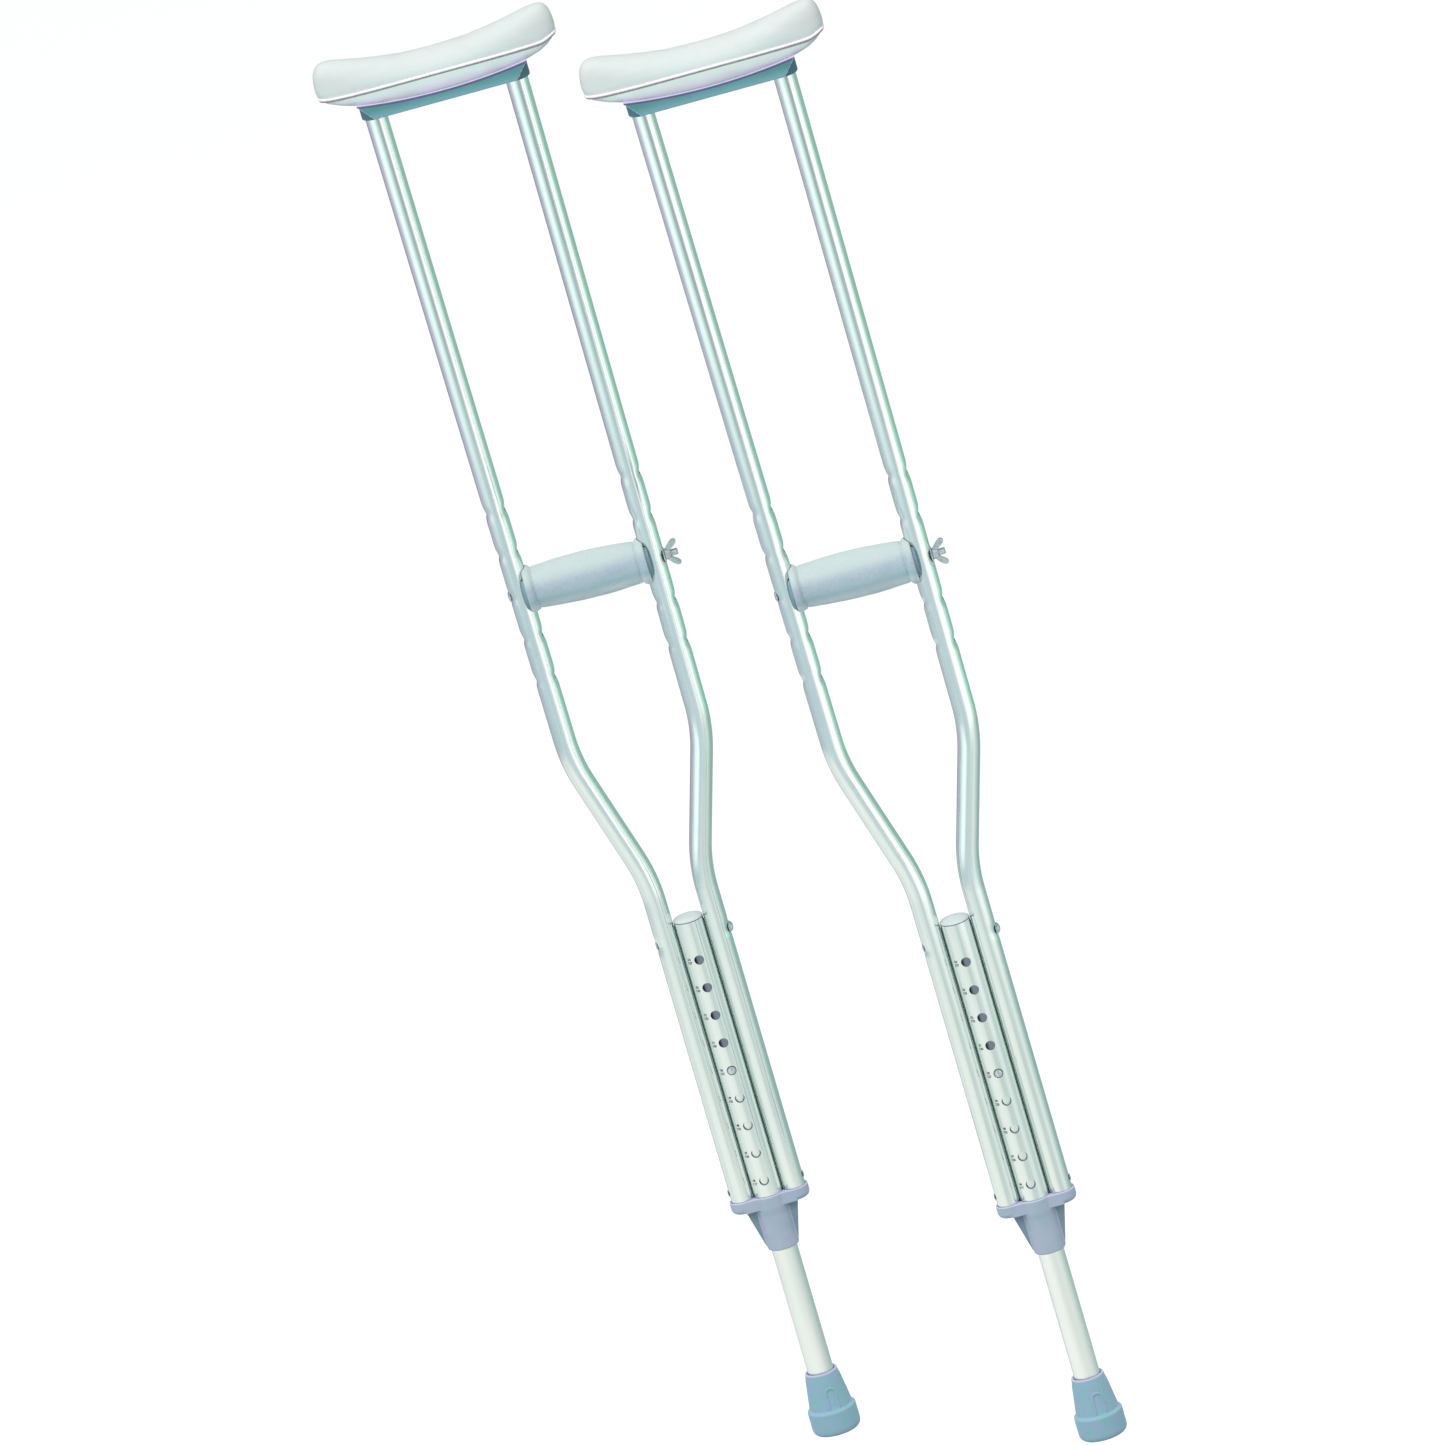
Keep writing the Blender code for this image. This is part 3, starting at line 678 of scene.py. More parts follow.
def tube_along(route, sign, radius_at, wall, sides):
    """A tube along a route of (x, z) points. radius_at(outward, height) is its outside radius, and
    outward is 1 on the side away from the middle of the crutch."""
    outer, inner = [], []
    depth = Vector((0, 1, 0))
    angles = [2 * math.pi * k / sides for k in range(sides)]
    for i, point in enumerate(route):
        ahead, behind = route[min(i + 1, len(route) - 1)], route[max(i - 1, 0)]
        tangent = (ahead - behind).normalized()
        across = Vector((sign * tangent[1], 0, -tangent[0]))
        centre = Vector((sign * point[0], 0, point[1]))
        for rings, thinner in ((outer, 0), (inner, wall)):
            ring = []
            for angle in angles:
                radius = radius_at(math.cos(angle), point[1]) - thinner
                ring.append(centre + radius * (math.cos(angle) * across + math.sin(angle) * depth))
            rings.append(ring)
    return lofted(outer + inner[::-1], closed=True)


def side_tubes():
    """The bent side tubes, pressed in a little at each bolt hole."""
    grips = [GRIP_Z + GRIP_PITCH * n for n in GRIP_STEPS]
    pressed = [*grips, TOP_BOLT_Z]
    bend_steps, sides = 10, 48
    ring_gap, rings_each_way = 1.25, 9

    def radius_at(outward, height):
        depth = 0
        for z in pressed:
            if z == TOP_BOLT_Z and outward < 0:
                continue
            depth += DIMPLE_DEPTH * math.exp(-(((height - z) / DIMPLE_REACH) ** 2))
        return SIDE_RADIUS - depth * abs(outward) ** 3

    fine = [z + ring_gap * step for z in pressed for step in range(-rings_each_way, rings_each_way + 1)]
    route = add_heights(bent_route(side_corners(), BEND_RADIUS, bend_steps), fine)
    for side, sign in SIDES:
        tube = tube_along(route, sign, radius_at, WALL, sides)
        cutters = [rod((sign * side_x(z), 0, z), "+X", GRIP_HOLE_RADIUS, 30) for z in grips]
        cutters.append(rod((sign * SIDE_X_LOW, 0, TOP_BOLT_Z), "+X", TOP_BOLT_HOLE_RADIUS, 30))
        cutters.append(rod((sign * SIDE_X_OUTSIDE, 0, YOKE_SCREW_Z), "+X", YOKE_SCREW_HOLE_RADIUS, 8))
        combined(tube, cutters, "DIFFERENCE")
        both(tube, f"side_tube_{side}", "crutch", "drawn_aluminium")


def centre_tube():
    """The centre tube with its row of push-button holes, and the plug in its top."""
    inner = CENTRE_RADIUS - WALL
    lip = 0.35
    profile = [
        (CENTRE_RADIUS - lip, CENTRE_TOP), (CENTRE_RADIUS, CENTRE_TOP - lip),
        (CENTRE_RADIUS, CENTRE_BOTTOM), (inner, CENTRE_BOTTOM), (inner, CENTRE_TOP),
    ]
    tube = turned(profile, steps=96)
    heights = [BUTTON_Z + HOLE_PITCH * n for n in HOLE_STEPS]
    cutters = [rod((0, -CENTRE_RADIUS, z), "-Y", BUTTON_HOLE_RADIUS, 8) for z in heights]
    cutters.append(rod((0, 0, TOP_BOLT_Z), "+X", TOP_BOLT_HOLE_RADIUS, 40))
    combined(tube, cutters, "DIFFERENCE")

    def in_bore(centre, normal):
        """On the inside of the tube, or on the edge of a hole in its front."""
        across = centre.xy
        in_hole = across.length < CENTRE_RADIUS - 0.05 and normal.y * normal.y < 0.5
        return across.length < inner + 0.05 and normal.xy.dot(across) < 0 or in_hole and centre.y < 0

    # The bore and the holes' edges take the painted shade and glow.
    paint(both(tube, "centre_tube", "crutch", "drawn_aluminium"), "oxidised_bore", in_bore)

    top = heights_of("centre_cap")[1]
    plug, plug_inside, plug_depth = inner - 0.3, 9.2, 10
    dome = [(0, 0), (4.0, 0.15), (7.5, 0.6), (10.2, 1.3), (11.8, 2.0), (12.6, 2.7)]
    profile = [(radius, top - drop) for radius, drop in dome]
    profile += [
        (12.65, CENTRE_TOP + 0.25), (plug, CENTRE_TOP + 0.25), (plug, CENTRE_TOP - plug_depth),
        (plug_inside, CENTRE_TOP - plug_depth), (plug_inside, CENTRE_TOP - 1), (0, CENTRE_TOP - 1),
    ]
    both(turned(profile), "centre_cap", "crutch", "pale_moulding", sharp_degrees=50)


def crevice_shadow_strips():
    """The slim strips in the furrows between the centre tube and the side tubes, at the front, each with a
    groove painted dark as shadow deep in the furrow.
    """
    depths = [-2.7 - 0.2 * k for k in range(5)]
    clear = 0.05
    groove_half, groove_depth = 0.55, 0.4
    near = [(math.sqrt(CENTRE_RADIUS ** 2 - y * y) + clear, y) for y in depths]
    far = [(SIDE_X_LOW - math.sqrt(SIDE_RADIUS ** 2 - y * y) - clear, y) for y in reversed(depths)]
    groove = [
        (-groove_half, 0), (0.05 - groove_half, groove_depth), (groove_half - 0.05, groove_depth),
        (groove_half, 0),
    ]
    outline = near + [(FURROW_X + x, depths[-1] + y) for x, y in groove] + far
    heights = [FLANGE_TOP + 0.5, FLANGE_TOP + 1.5, CENTRE_TOP - 3.5, CENTRE_TOP - 2.5]

    # The groove takes the dark green: painted shadow along the furrow.
    def in_groove(centre, normal):
        return abs(abs(centre.x) - FURROW_X) < groove_half + 0.01

    for side, sign in SIDES:
        strip = lofted([[(sign * x, y, z) for x, y in outline] for z in heights])
        paint(both(strip, f"filler_strip_{side}", "crutch", "pale_moulding"), "dark_strip", in_groove)


def thread(depth, pitch):
    """The change of radius that cuts a one-start thread."""
    def shift(angle, height):
        phase = (height / pitch - angle / (2 * math.pi)) % 1
        return -depth * abs(2 * phase - 1)

    return shift


def hexagon_prism(across_flats, low, high, at, axis):
    """A hexagon with its corners turned down at the outer end."""
    corner, turned_down = across_flats * 0.577, across_flats * 0.5
    wide = across_flats * 0.62
    nut = turned([(0, high), (corner, high), (corner, low), (0, low)], at, axis, 6)
    tool = turned([(0, high), (turned_down, high), (wide, high - 1.0), (wide, low), (0, low)], at, axis, 48)
    return combined(nut, [tool], "INTERSECT")


def flat_ring(outside, inside, seat, thick, edge, at, steps):
    """A washer on the right of a tube, with the outer edge of its far face turned down by edge."""
    profile = [
        (outside, seat + thick - edge), (outside - edge, seat + thick), (inside, seat + thick),
        (inside, seat), (outside, seat),
    ]
    return turned(profile, at, "+X", steps)


def top_bolt():
    """The bolt through all three tubes, its washer, and its domed nut on the right."""
    outside = SIDE_X_OUTSIDE - SEAT_DEPTH
    at = (0, 0, TOP_BOLT_Z)
    shank, head = 2.4, 3.9
    profile = [
        (0, outside + 2.4), (shank, outside + 2.3), (shank, -outside), (head, -outside),
        (head - 0.1, -outside - 0.5), (shank, -outside - 1.1), (0, -outside - 1.3),
    ]
    bolt = turned(rounded(profile, radius=0.8, keep=(1, 2)), at, "+X", 32)
    both(bolt, "top_bolt", "crutch", "zinc_plated_steel")
    washer = flat_ring(outside=5.4, inside=2.7, seat=outside, thick=0.85, edge=0.2, at=at, steps=48)
    both(washer, "top_washer", "crutch", "zinc_plated_steel")
    seat = outside + 0.9
    nut = hexagon_prism(across_flats=8.0, low=seat, high=seat + 1.5, at=at, axis="+X")
    dome = [(0, 2.8), (1.4, 2.7), (2.6, 2.35), (3.4, 1.8), (3.7, 1.2), (3.7, 0.5), (0, 0.5)]
    combined(nut, [turned([(r, seat + h) for r, h in dome], at, "+X", 48)], "UNION")
    bore = turned([(0, seat + 2.1), (2.7, seat + 1.8), (2.7, seat - 1), (0, seat - 1)], at, "+X", 32)
    combined(nut, [bore], "DIFFERENCE")
    both(nut, "top_nut", "crutch", "zinc_plated_steel")


def yoke():
    """The moulding that holds the tubes' lower ends and guides the leg."""
    end_radius = SIDE_RADIUS + 1.9
    collar = turned([
        (0, FLANGE_TOP), (COLLAR_RADIUS, FLANGE_TOP), (COLLAR_RADIUS, FLANGE_BOTTOM),
        (COLLAR_RADIUS - 0.8, FLANGE_BOTTOM - 6), (COLLAR_RADIUS - 1.1, COLLAR_BOTTOM + 0.8),
        (COLLAR_RADIUS - 1.7, COLLAR_BOTTOM), (0, COLLAR_BOTTOM),
    ])
    end = [
        (0, FLANGE_TOP), (end_radius, FLANGE_TOP), (end_radius, FLANGE_BOTTOM + 3.5),
        (end_radius - 1.2, FLANGE_BOTTOM + 1.2), (end_radius - 3.1, FLANGE_BOTTOM),
        (0, FLANGE_BOTTOM),
    ]
    ends = [turned(end, (sign * SIDE_X_LOW, 0, 0)) for _, sign in SIDES]
    band_low, band_high = FLANGE_BOTTOM + 0.05, FLANGE_TOP - 0.05
    x = SIDE_X_LOW
    band = [(-x, band_low), (x, band_low), (x, band_high), (-x, band_high)]
    rib_top, rib_foot = FLANGE_BOTTOM + 1, COLLAR_BOTTOM + 4
    half_rib = [(22.5, rib_top), (22.3, rib_top - 2), (14, rib_foot)]
    rib = [(-22.5, rib_top), *half_rib, (-14, rib_foot), (-22.3, rib_top - 2)]
    combined(collar, [*ends, prism(band, SIDE_RADIUS + 1.6), prism(rib, RIB_HALF_DEPTH)], "UNION")

    clear = 0.3
    pocket_length = 30
    pocket_middle = CENTRE_BOTTOM - clear + pocket_length / 2
    cutters = [rod((0, 0, COLLAR_BOTTOM + 28), "+Z", CENTRE_RADIUS - WALL, 80, 96)]
    cutters.append(rod((0, 0, pocket_middle), "+Z", CENTRE_RADIUS + clear, pocket_length, 96))
    spigots = []
    pilots = []
    for _, sign in SIDES:
        x = sign * SIDE_X_LOW
        cutters.append(rod((x, 0, pocket_middle), "+Z", SIDE_RADIUS + clear, pocket_length, 64))
        spigots.append(rod((x, 0, FLANGE_TOP + 5), "+Z", SIDE_RADIUS - WALL - 0.4, 30))
        pilots.append(rod((sign * 27, 0, YOKE_SCREW_Z), "+X", 2.1, 14))
    combined(collar, cutters, "DIFFERENCE")
    combined(collar, spigots, "UNION")
    combined(collar, pilots, "DIFFERENCE")
    moulded(collar, voxel=0.55, smoothing=4, keep=0.45)

    def on_rib(centre, normal):
        below, flat = centre.z < FLANGE_BOTTOM - 0.4, abs(centre.y) < RIB_HALF_DEPTH + 0.7
        return below and flat and centre.xy.length > COLLAR_RADIUS - 0.1

    def on_upper_edge(centre, normal):
        return centre.z > FLANGE_TOP - 1.0

    pieces = both(collar, "yoke", "crutch", "blue_grey_moulding", sharp_degrees=180)
    # The ribs take the shaded copy of the moulding, as painted shade where they sit back, and the flange's
    # upper edge a painted highlight.
    paint(pieces, "shaded_moulding", on_rib)
    paint(pieces, "worn_edge", on_upper_edge)


def yoke_screws():
    """The screws through the side tubes into the yoke, with crossed slots in their heads."""
    profile = [(0, 1.0), (2.0, 0.9), (3.1, 0.45), (3.1, 0.2), (1.6, 0.2), (1.6, -9), (0, -10)]
    slot_reach, slot_half, slot_deep = 2.0, 0.4, 0.2
    for side, sign in SIDES:
        at = (sign * SIDE_X_OUTSIDE, 0, YOKE_SCREW_Z)
        screw = turned(rounded(profile, radius=0.5), at, "+X" if sign > 0 else "-X", 32)
        near, far = sign * (SIDE_X_OUTSIDE + slot_deep), sign * (SIDE_X_OUTSIDE + 2.1)
        slots = []
        for up, deep in ((slot_reach, slot_half), (slot_half, slot_reach)):
            low, high = YOKE_SCREW_Z - up, YOKE_SCREW_Z + up
            slots.append(prism([(near, low), (far, low), (far, high), (near, high)], deep))
        combined(screw, slots, "DIFFERENCE")
        both(screw, f"yoke_screw_{side}", "crutch", "zinc_plated_steel")


# The leg

def leg():
    """The sliding leg and its button."""
    inner = LEG_RADIUS - WALL
    lip = 0.3
    profile = [
        (LEG_RADIUS - lip, LEG_TOP), (LEG_RADIUS, LEG_TOP - lip), (LEG_RADIUS, LEG_BOTTOM),
        (inner, LEG_BOTTOM), (inner, LEG_TOP),
    ]
    tube = turned(profile, steps=96)
    combined(tube, [rod((0, -LEG_RADIUS, BUTTON_Z), "-Y", BUTTON_HOLE_RADIUS, 8)], "DIFFERENCE")
    both(tube, "leg_tube", "leg", "anodised_aluminium")

    radius, proud, dome_height = 3.6, 14.9, 3.0
    rim_radius, rim_front, rim_back = 4.9, 7.8, 6.8
    dome = [(0, proud)]
    for degrees in range(9, 91, 9):
        angle = math.radians(degrees)
        dome.append((radius * math.sin(angle), proud - dome_height * (1 - math.cos(angle))))
    rim = [(radius, rim_front), (rim_radius, rim_front), (rim_radius, rim_back), (0, rim_back)]
    button = turned(dome + rim, (0, 0, BUTTON_Z), "-Y", 48)
    both(button, "snap_button", "button", "zinc_plated_steel")


def button_spring():
    """The V-shaped leaf spring in the leg: its back leaf rides with the leg, and its front leaf is on no
    body.
    """
    thick, half_width = 0.8, 3.5
    top, apex, knee = BUTTON_Z + 7, BUTTON_Z - 42, BUTTON_Z - 8
    front, back = -6.5, 8.6
    bends = 12

    def leaf(foot, knee_at, knee_height, toward):
        """One leaf, from the V's point up: toward is 1 where the other leaf has higher y."""
        outer, inner = [(0, apex)], [(0, apex + 1.0)]
        for edge, low, high in (
            (outer, (foot, apex + 1.5), knee_at),
            (inner, (foot + 0.7 * toward, apex + 2.0), knee_at + thick * toward),
        ):
            for step in range(bends + 1):
                way = step / bends
                edge.append((low[0] + (high - low[0]) * way, low[1] + (knee_height - low[1]) * way))
            edge.append((high, top))
        return prism(outer + inner[::-1], half_width, "X")

    still = leaf(1.8, back, knee + 4, -1)
    both(still, "button_spring_back", "leg", "zinc_plated_steel", node="button_spring")
    for piece in both(leaf(-1.8, front, knee, 1), "button_spring_front", None, "zinc_plated_steel"):
        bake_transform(piece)


def rubber_tip():
    """The rubber tip, with rings in its tread, a socket for the leg and relief on its body."""
    socket = LEG_RADIUS + 0.4
    floor = heights_of("tip_washer")[0] - 0.3
    foot = 20.8
    outside = [
        (socket, TIP_TOP - 2.6), (12.3, TIP_TOP - 1.0), (13.8, TIP_TOP - 1.3),
        (18.2, FOOT_HEIGHT + 0.9), (foot, FOOT_HEIGHT - 0.4), (foot, 4.2), (foot - 0.6, 1.6),
        (foot - 2.2, 0),
    ]
    outside = stepped(rounded(outside, radius=1.1, steps=5), longest=0.9)
    deep = 1.6
    tread = [(15.6, 0), (14.8, deep), (12.6, deep), (11.8, 0), (8.6, 0), (7.8, deep), (0, deep)]

    def relief(angle, height):
        return tip_relief(angle, height) if 0 < height < TIP_TOP - 1.4 else 0.0

    tip = turned([*outside, *tread, (0, floor), (socket, floor)], steps=240, shift=relief)
    both(tip, "tip", "leg", "moulded_rubber", sharp_degrees=50)
    repaint("tip_washer", "zinc_plated_steel")


def tip_relief(angle, height):
    """Shallow moulded relief: a plain raised arch low on the front of the body, and ribs beside it."""
    front = (math.degrees(angle) + 90 + 180) % 360 - 180
    low, high = FOOT_HEIGHT + 2.0, TIP_TOP - 6.0
    on_body = smoothstep(low, low + 1.2, height) * (1 - smoothstep(high - 1.5, high, height))
    arch_turn, arch_rise, mm_per_degree = 12, 14, 0.29
    across, up = (front - arch_turn) * mm_per_degree, height - (low + arch_rise)
    reach = math.hypot(across, max(0.0, up))
    pocket = 1 - smoothstep(3.2, 3.7, reach)
    arch = (1 - pocket) * (1 - smoothstep(4.6, 5.1, reach))
    clear = smoothstep(5.6, 7.0, reach)
    ribs = 0.5 + 0.5 * math.cos(math.radians(front) * 30)
    return (0.7 * arch - 0.3 * pocket + 0.35 * ribs ** 3 * clear) * on_body


# The handgrip

def handgrip():
    """The foam grip, sitting slightly tilted, and the plastic ends that hug the side tubes."""
    reach = side_x(GRIP_Z)
    end = reach - SIDE_RADIUS + 3.6
    tilt, raised = math.tan(math.radians(1.6)), 1.0
    recess, seat, core = 16.8, 44.2, 9.3
    lump_size, lump_height = 19, 0.35
    half = [
        (0.0, 20.2), (13, 20.0), (26, 19.3), (36, 18.5), (41.5, 18.1), (43.4, 17.7), (44.0, 17.0),
        (44.6, 17.6), (45.4, 18.6), (46.8, 19.9), (48.4, 20.3), (end - 0.8, 20.0), (end, 19.2),
    ]
    line = [(radius, x) for x, radius in reversed(half)] + [(radius, -x) for x, radius in half[1:]]
    lining = [(recess, -end), (recess, -seat), (core, -seat), (core, seat), (recess, seat), (recess, end)]
    line = stepped(rounded(line, radius=1.2, steps=3), longest=1.5)
    foam = turned([*line, *lining], (0, 0, GRIP_Z), "+X", 72)
    for vertex in foam.data.vertices:
        swell = noise.noise(vertex.co / lump_size) * lump_height
        off_axis = Vector((0, vertex.co.y, vertex.co.z - GRIP_Z))
        if off_axis.length > recess + 0.1:
            vertex.co += off_axis.normalized() * swell
            vertex.co.z += raised - tilt * vertex.co.x

    def cope(sign):
        return rod((sign * reach, 0, GRIP_Z), "+Z", SIDE_RADIUS + 0.3, 60, 64)

    combined(foam, [cope(sign) for _, sign in SIDES], "DIFFERENCE")
    both(foam, "handgrip", "crutch", "closed_cell_foam", sharp_degrees=50)

    rim = reach - 3.0
    for side, sign in SIDES:
        profile = [
            (GRIP_HOLE_RADIUS, rim), (14.6, rim), (15.4, rim - 0.4), (15.9, rim - 1.4),
            (15.9, seat + 0.3), (GRIP_HOLE_RADIUS, seat + 0.3),
        ]
        holder = turned(profile, (0, 0, GRIP_Z), "+X" if sign > 0 else "-X", 72)
        combined(holder, [cope(sign)], "DIFFERENCE")
        # The end pieces take the darker blue-grey, as painted shade.
        both(holder, f"grip_saddle_{side}", "crutch", "dark_blue_grey_moulding", sharp_degrees=40)
    repaint("grip_core", "pale_moulding")


def grip_bolt():
    """The grip's bolt with its thread, its washer and its wing nut, in the tube's pressed-in seats."""
    outside = side_x(GRIP_Z) + SIDE_RADIUS - SEAT_DEPTH
    at = (0, 0, GRIP_Z)
    end = (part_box("a_grip_bolt")[1].x - crutch_matrix("a_").translation.x) / MM
    pitch, turns, steps_per_turn = 1.27, 14, 8
    radius, thread_depth = 3.0, 0.45
    start = end - 0.8
    screwed = [(0, end), (2.2, end)]
    screwed += [(radius, start - pitch * k / steps_per_turn) for k in range(turns * steps_per_turn + 1)]
    foot = screwed[-1][1]
    cut = thread(thread_depth, pitch)

    def groove(angle, height):
        return cut(angle, height) if height <= start else 0.0

    threaded = turned([*screwed, (0, foot)], at, "+X", 32, groove)
    head_radius, head_height = 4.9, 2.1
    profile = [
        (0, foot + 0.4), (radius - 0.1, foot + 0.4), (radius - 0.1, -outside),
        (head_radius, -outside), (head_radius - 0.1, -outside - 0.8), (3.4, -outside - 1.7),
        (0, -outside - head_height),
    ]
    bolt = turned(rounded(profile, radius=0.8, keep=(1, 2)), at, "+X", 48)
    combined(bolt, [rod((-outside - head_height, 0, GRIP_Z), "+X", 1.6, 2.4, 6)], "DIFFERENCE")
    both(joined([bolt, threaded]), "grip_bolt", "grip_bolt", "zinc_plated_steel")
    washer = flat_ring(outside=7.0, inside=3.4, seat=outside, thick=1.1, edge=0.3, at=at, steps=64)
    both(washer, "grip_washer", "nut_washer", "zinc_plated_steel")

    seat = outside + 1.3
    profile = [(0, 5.0), (4.0, 4.8), (4.8, 1.2), (5.0, 0), (0, 0)]
    hub = turned([(radius, seat + along) for radius, along in profile], at, "+X", 48)
    wing = [
        (1.0, 2.6), (4.6, 2.6), (7.0, 4.4), (10.0, 6.6), (11.6, 8.6), (11.6, 10.4), (10.2, 11.6),
        (7.8, 11.4), (5.2, 9.4), (2.8, 6.6), (1.0, 4.4),
    ]
    wings = [prism([(seat + along, GRIP_Z + sign * out) for along, out in wing], 1.2) for sign in (1, -1)]
    combined(hub, wings, "UNION")
    combined(hub, [rod((seat + 2, 0, GRIP_Z), "+X", 3.35, 12)], "DIFFERENCE")
    moulded(hub, voxel=0.28, smoothing=4, keep=0.5)
    both(hub, "wing_nut", "wing_nut", "zinc_plated_steel", sharp_degrees=180)


# The saddle and the rest

def along_saddle(reach, offset, steps=24):
    """Points (x, z) along the saddle's dished top, from -reach to reach, raised by offset."""
    places = [reach * (2 * step / steps - 1) for step in range(steps + 1)]
    return [(x, saddle_top(x) + offset) for x in places]


def saddle():
    """The moulding across the side tubes, with a round socket for each."""
    cut_start = 61.5
    outline = [*along_saddle(SADDLE_HALF_LENGTH, 0), (cut_start, SADDLE_BOTTOM), (-cut_start, SADDLE_BOTTOM)]
    body = prism(outline, SADDLE_HALF_DEPTH)
    over, under = SADDLE_HALF_LENGTH + 8, SADDLE_TOP - 25
    channel = [*along_saddle(over, -3), (over, under), (-over, under)]
    combined(body, [prism(channel, SADDLE_HALF_DEPTH - SADDLE_WALL)], "DIFFERENCE")
    top = saddle_top(SIDE_X_TOP) - 1
    middle, height = (SOCKET_BOTTOM + top) / 2, top - SOCKET_BOTTOM
    socket_length, screw_x = 20, 30
    socket_middle = SIDE_TOP + 0.3 - socket_length / 2
    sockets, cutters = [], []
    for _, sign in SIDES:
        x = sign * SIDE_X_TOP
        sockets.append(rod((x, 0, middle), "+Z", SIDE_RADIUS + 2.3, height, 64))
        cutters.append(rod((x, 0, socket_middle), "+Z", SIDE_RADIUS + 0.3, socket_length, 64))
    cutters += [rod((sign * screw_x, 0, SADDLE_TOP), "+Z", 2.3, 20) for _, sign in SIDES]
    combined(body, sockets, "UNION")
    combined(body, cutters, "DIFFERENCE")
    moulded(body, voxel=0.55, smoothing=3, keep=0.4)
    end_top = saddle_top(SADDLE_HALF_LENGTH)

    def past_cut(centre):
        """How far a point is past the slanted cut at the end of the saddle's sides."""
        way = (centre.z - SADDLE_BOTTOM) / (end_top - SADDLE_BOTTOM)
        return abs(centre.x) - (cut_start + (SADDLE_HALF_LENGTH - cut_start) * way)

    def on_socket(centre, normal):
        return past_cut(centre) > 0.4 and centre.z < end_top - 1.5

    def on_cut_edge(centre, normal):
        return abs(past_cut(centre)) < 0.7 and abs(centre.y) > SADDLE_HALF_DEPTH - 1.0

    pieces = both(body, "pad_saddle", "crutch", "teal_moulding", sharp_degrees=180)
    # The sockets past the cut take the darker teal, as painted shade.
    paint(pieces, "teal_socket", on_socket)
    # The front rims of the slanted cuts take a painted highlight.
    paint(pieces, "worn_edge", on_cut_edge)
    repaint("pad_board", "plywood")
    for side, _ in SIDES:
        repaint(f"pad_screw_{side}", "zinc_plated_steel")


def superellipse(angle, power):
    """A point on a rounded square: a circle at power 2, squarer above it."""
    c, s = math.cos(angle), math.sin(angle)
    return math.copysign(abs(c) ** (2 / power), c), math.copysign(abs(s) ** (2 / power), s)


def seam_height(x):
    along = x / PAD_HALF_LENGTH
    return SEAM_Z - 0.8 * along ** 2 + 3.5 * smoothstep(0.84, 1.0, along)


def pad_shape(inset):
    """The rest before it is stuffed: crowned sections along it, set inwards by inset."""
    rings = []
    stations, around = 60, 64
    middle_rise, end_rise = 16.1, 21.5
    squareness_above, squareness_below = 2.7, 4.5
    base = SADDLE_HALF_LENGTH + 3.3
    for i in range(stations + 1):
        along = -math.cos(math.pi * (0.015 + 0.97 * i / stations))
        x = along * (PAD_HALF_LENGTH - inset)
        depth = (PAD_HALF_DEPTH - inset) * (1 - abs(along) ** 3) ** (1 / 3)
        rise = (middle_rise + end_rise * along ** 2 - inset) * (1 - abs(along) ** 14) ** 0.4
        seam = seam_height(x)
        held = min(abs(x), base)
        taper = 1 - (abs(x) - held) / (PAD_HALF_LENGTH - base)
        fall = (seam_height(held) - saddle_top(held) - 0.2) * taper ** 0.75
        ring = []
        for k in range(around):
            angle = 2 * math.pi * k / around
            above = math.sin(angle) > 0
            c, s = superellipse(angle, squareness_above if above else squareness_below)
            ring.append((x, depth * c, seam + (rise if s > 0 else fall) * s))
        rings.append(ring)
    return lofted(rings)


def blown_up(shape, cap):
    """Blows a mesh in metres up with a cloth simulation, moving no point further than cap millimetres."""
    before = [vertex.co.copy() for vertex in shape.data.vertices]
    held = shape.vertex_groups.new(name="held")
    for vertex in shape.data.vertices:
        x, y, z = vertex.co / MM
        if z < saddle_top(x) + 3 and abs(x) < SADDLE_HALF_LENGTH:
            held.add([vertex.index], 1, "REPLACE")
    settings = shape.modifiers.new("cloth", "CLOTH").settings
    settings.quality = 6
    settings.mass = 0.3
    settings.use_pressure = True
    settings.uniform_pressure_force = 4
    settings.tension_stiffness = 25
    settings.compression_stiffness = 25
    settings.shear_stiffness = 12
    settings.bending_stiffness = 0.6
    settings.vertex_group_mass = "held"
    settings.effector_weights.gravity = 0
    for frame_number in range(1, 21):
        bpy.context.scene.frame_set(frame_number)
    after = evaluated_mesh(shape)
    shape.modifiers.clear()
    for vertex, old, new in zip(shape.data.vertices, before, after.vertices):
        move = new.co - old
        if move.length > cap * MM:
            move = move.normalized() * cap * MM
        vertex.co = old + move
    bpy.context.scene.frame_set(1)


def stuffed(shape, cap):
    """The shape as a stuffed cushion, with no point moved further than cap."""
    shape.data.transform(Matrix.Scale(MM, 4))
    remesh = shape.modifiers.new("remesh", "REMESH")
    remesh.mode = "VOXEL"
    remesh.voxel_size = 3.5 * MM
    bake(shape)
    blown_up(shape, cap)
    soften = shape.modifiers.new("soften", "SMOOTH")
    soften.factor = 0.5
    soften.iterations = 2
    finer = shape.modifiers.new("finer", "SUBSURF")
    finer.levels = finer.render_levels = 1
    bake(shape)
    shape.data.transform(Matrix.Scale(1 / MM, 4))
    return shape


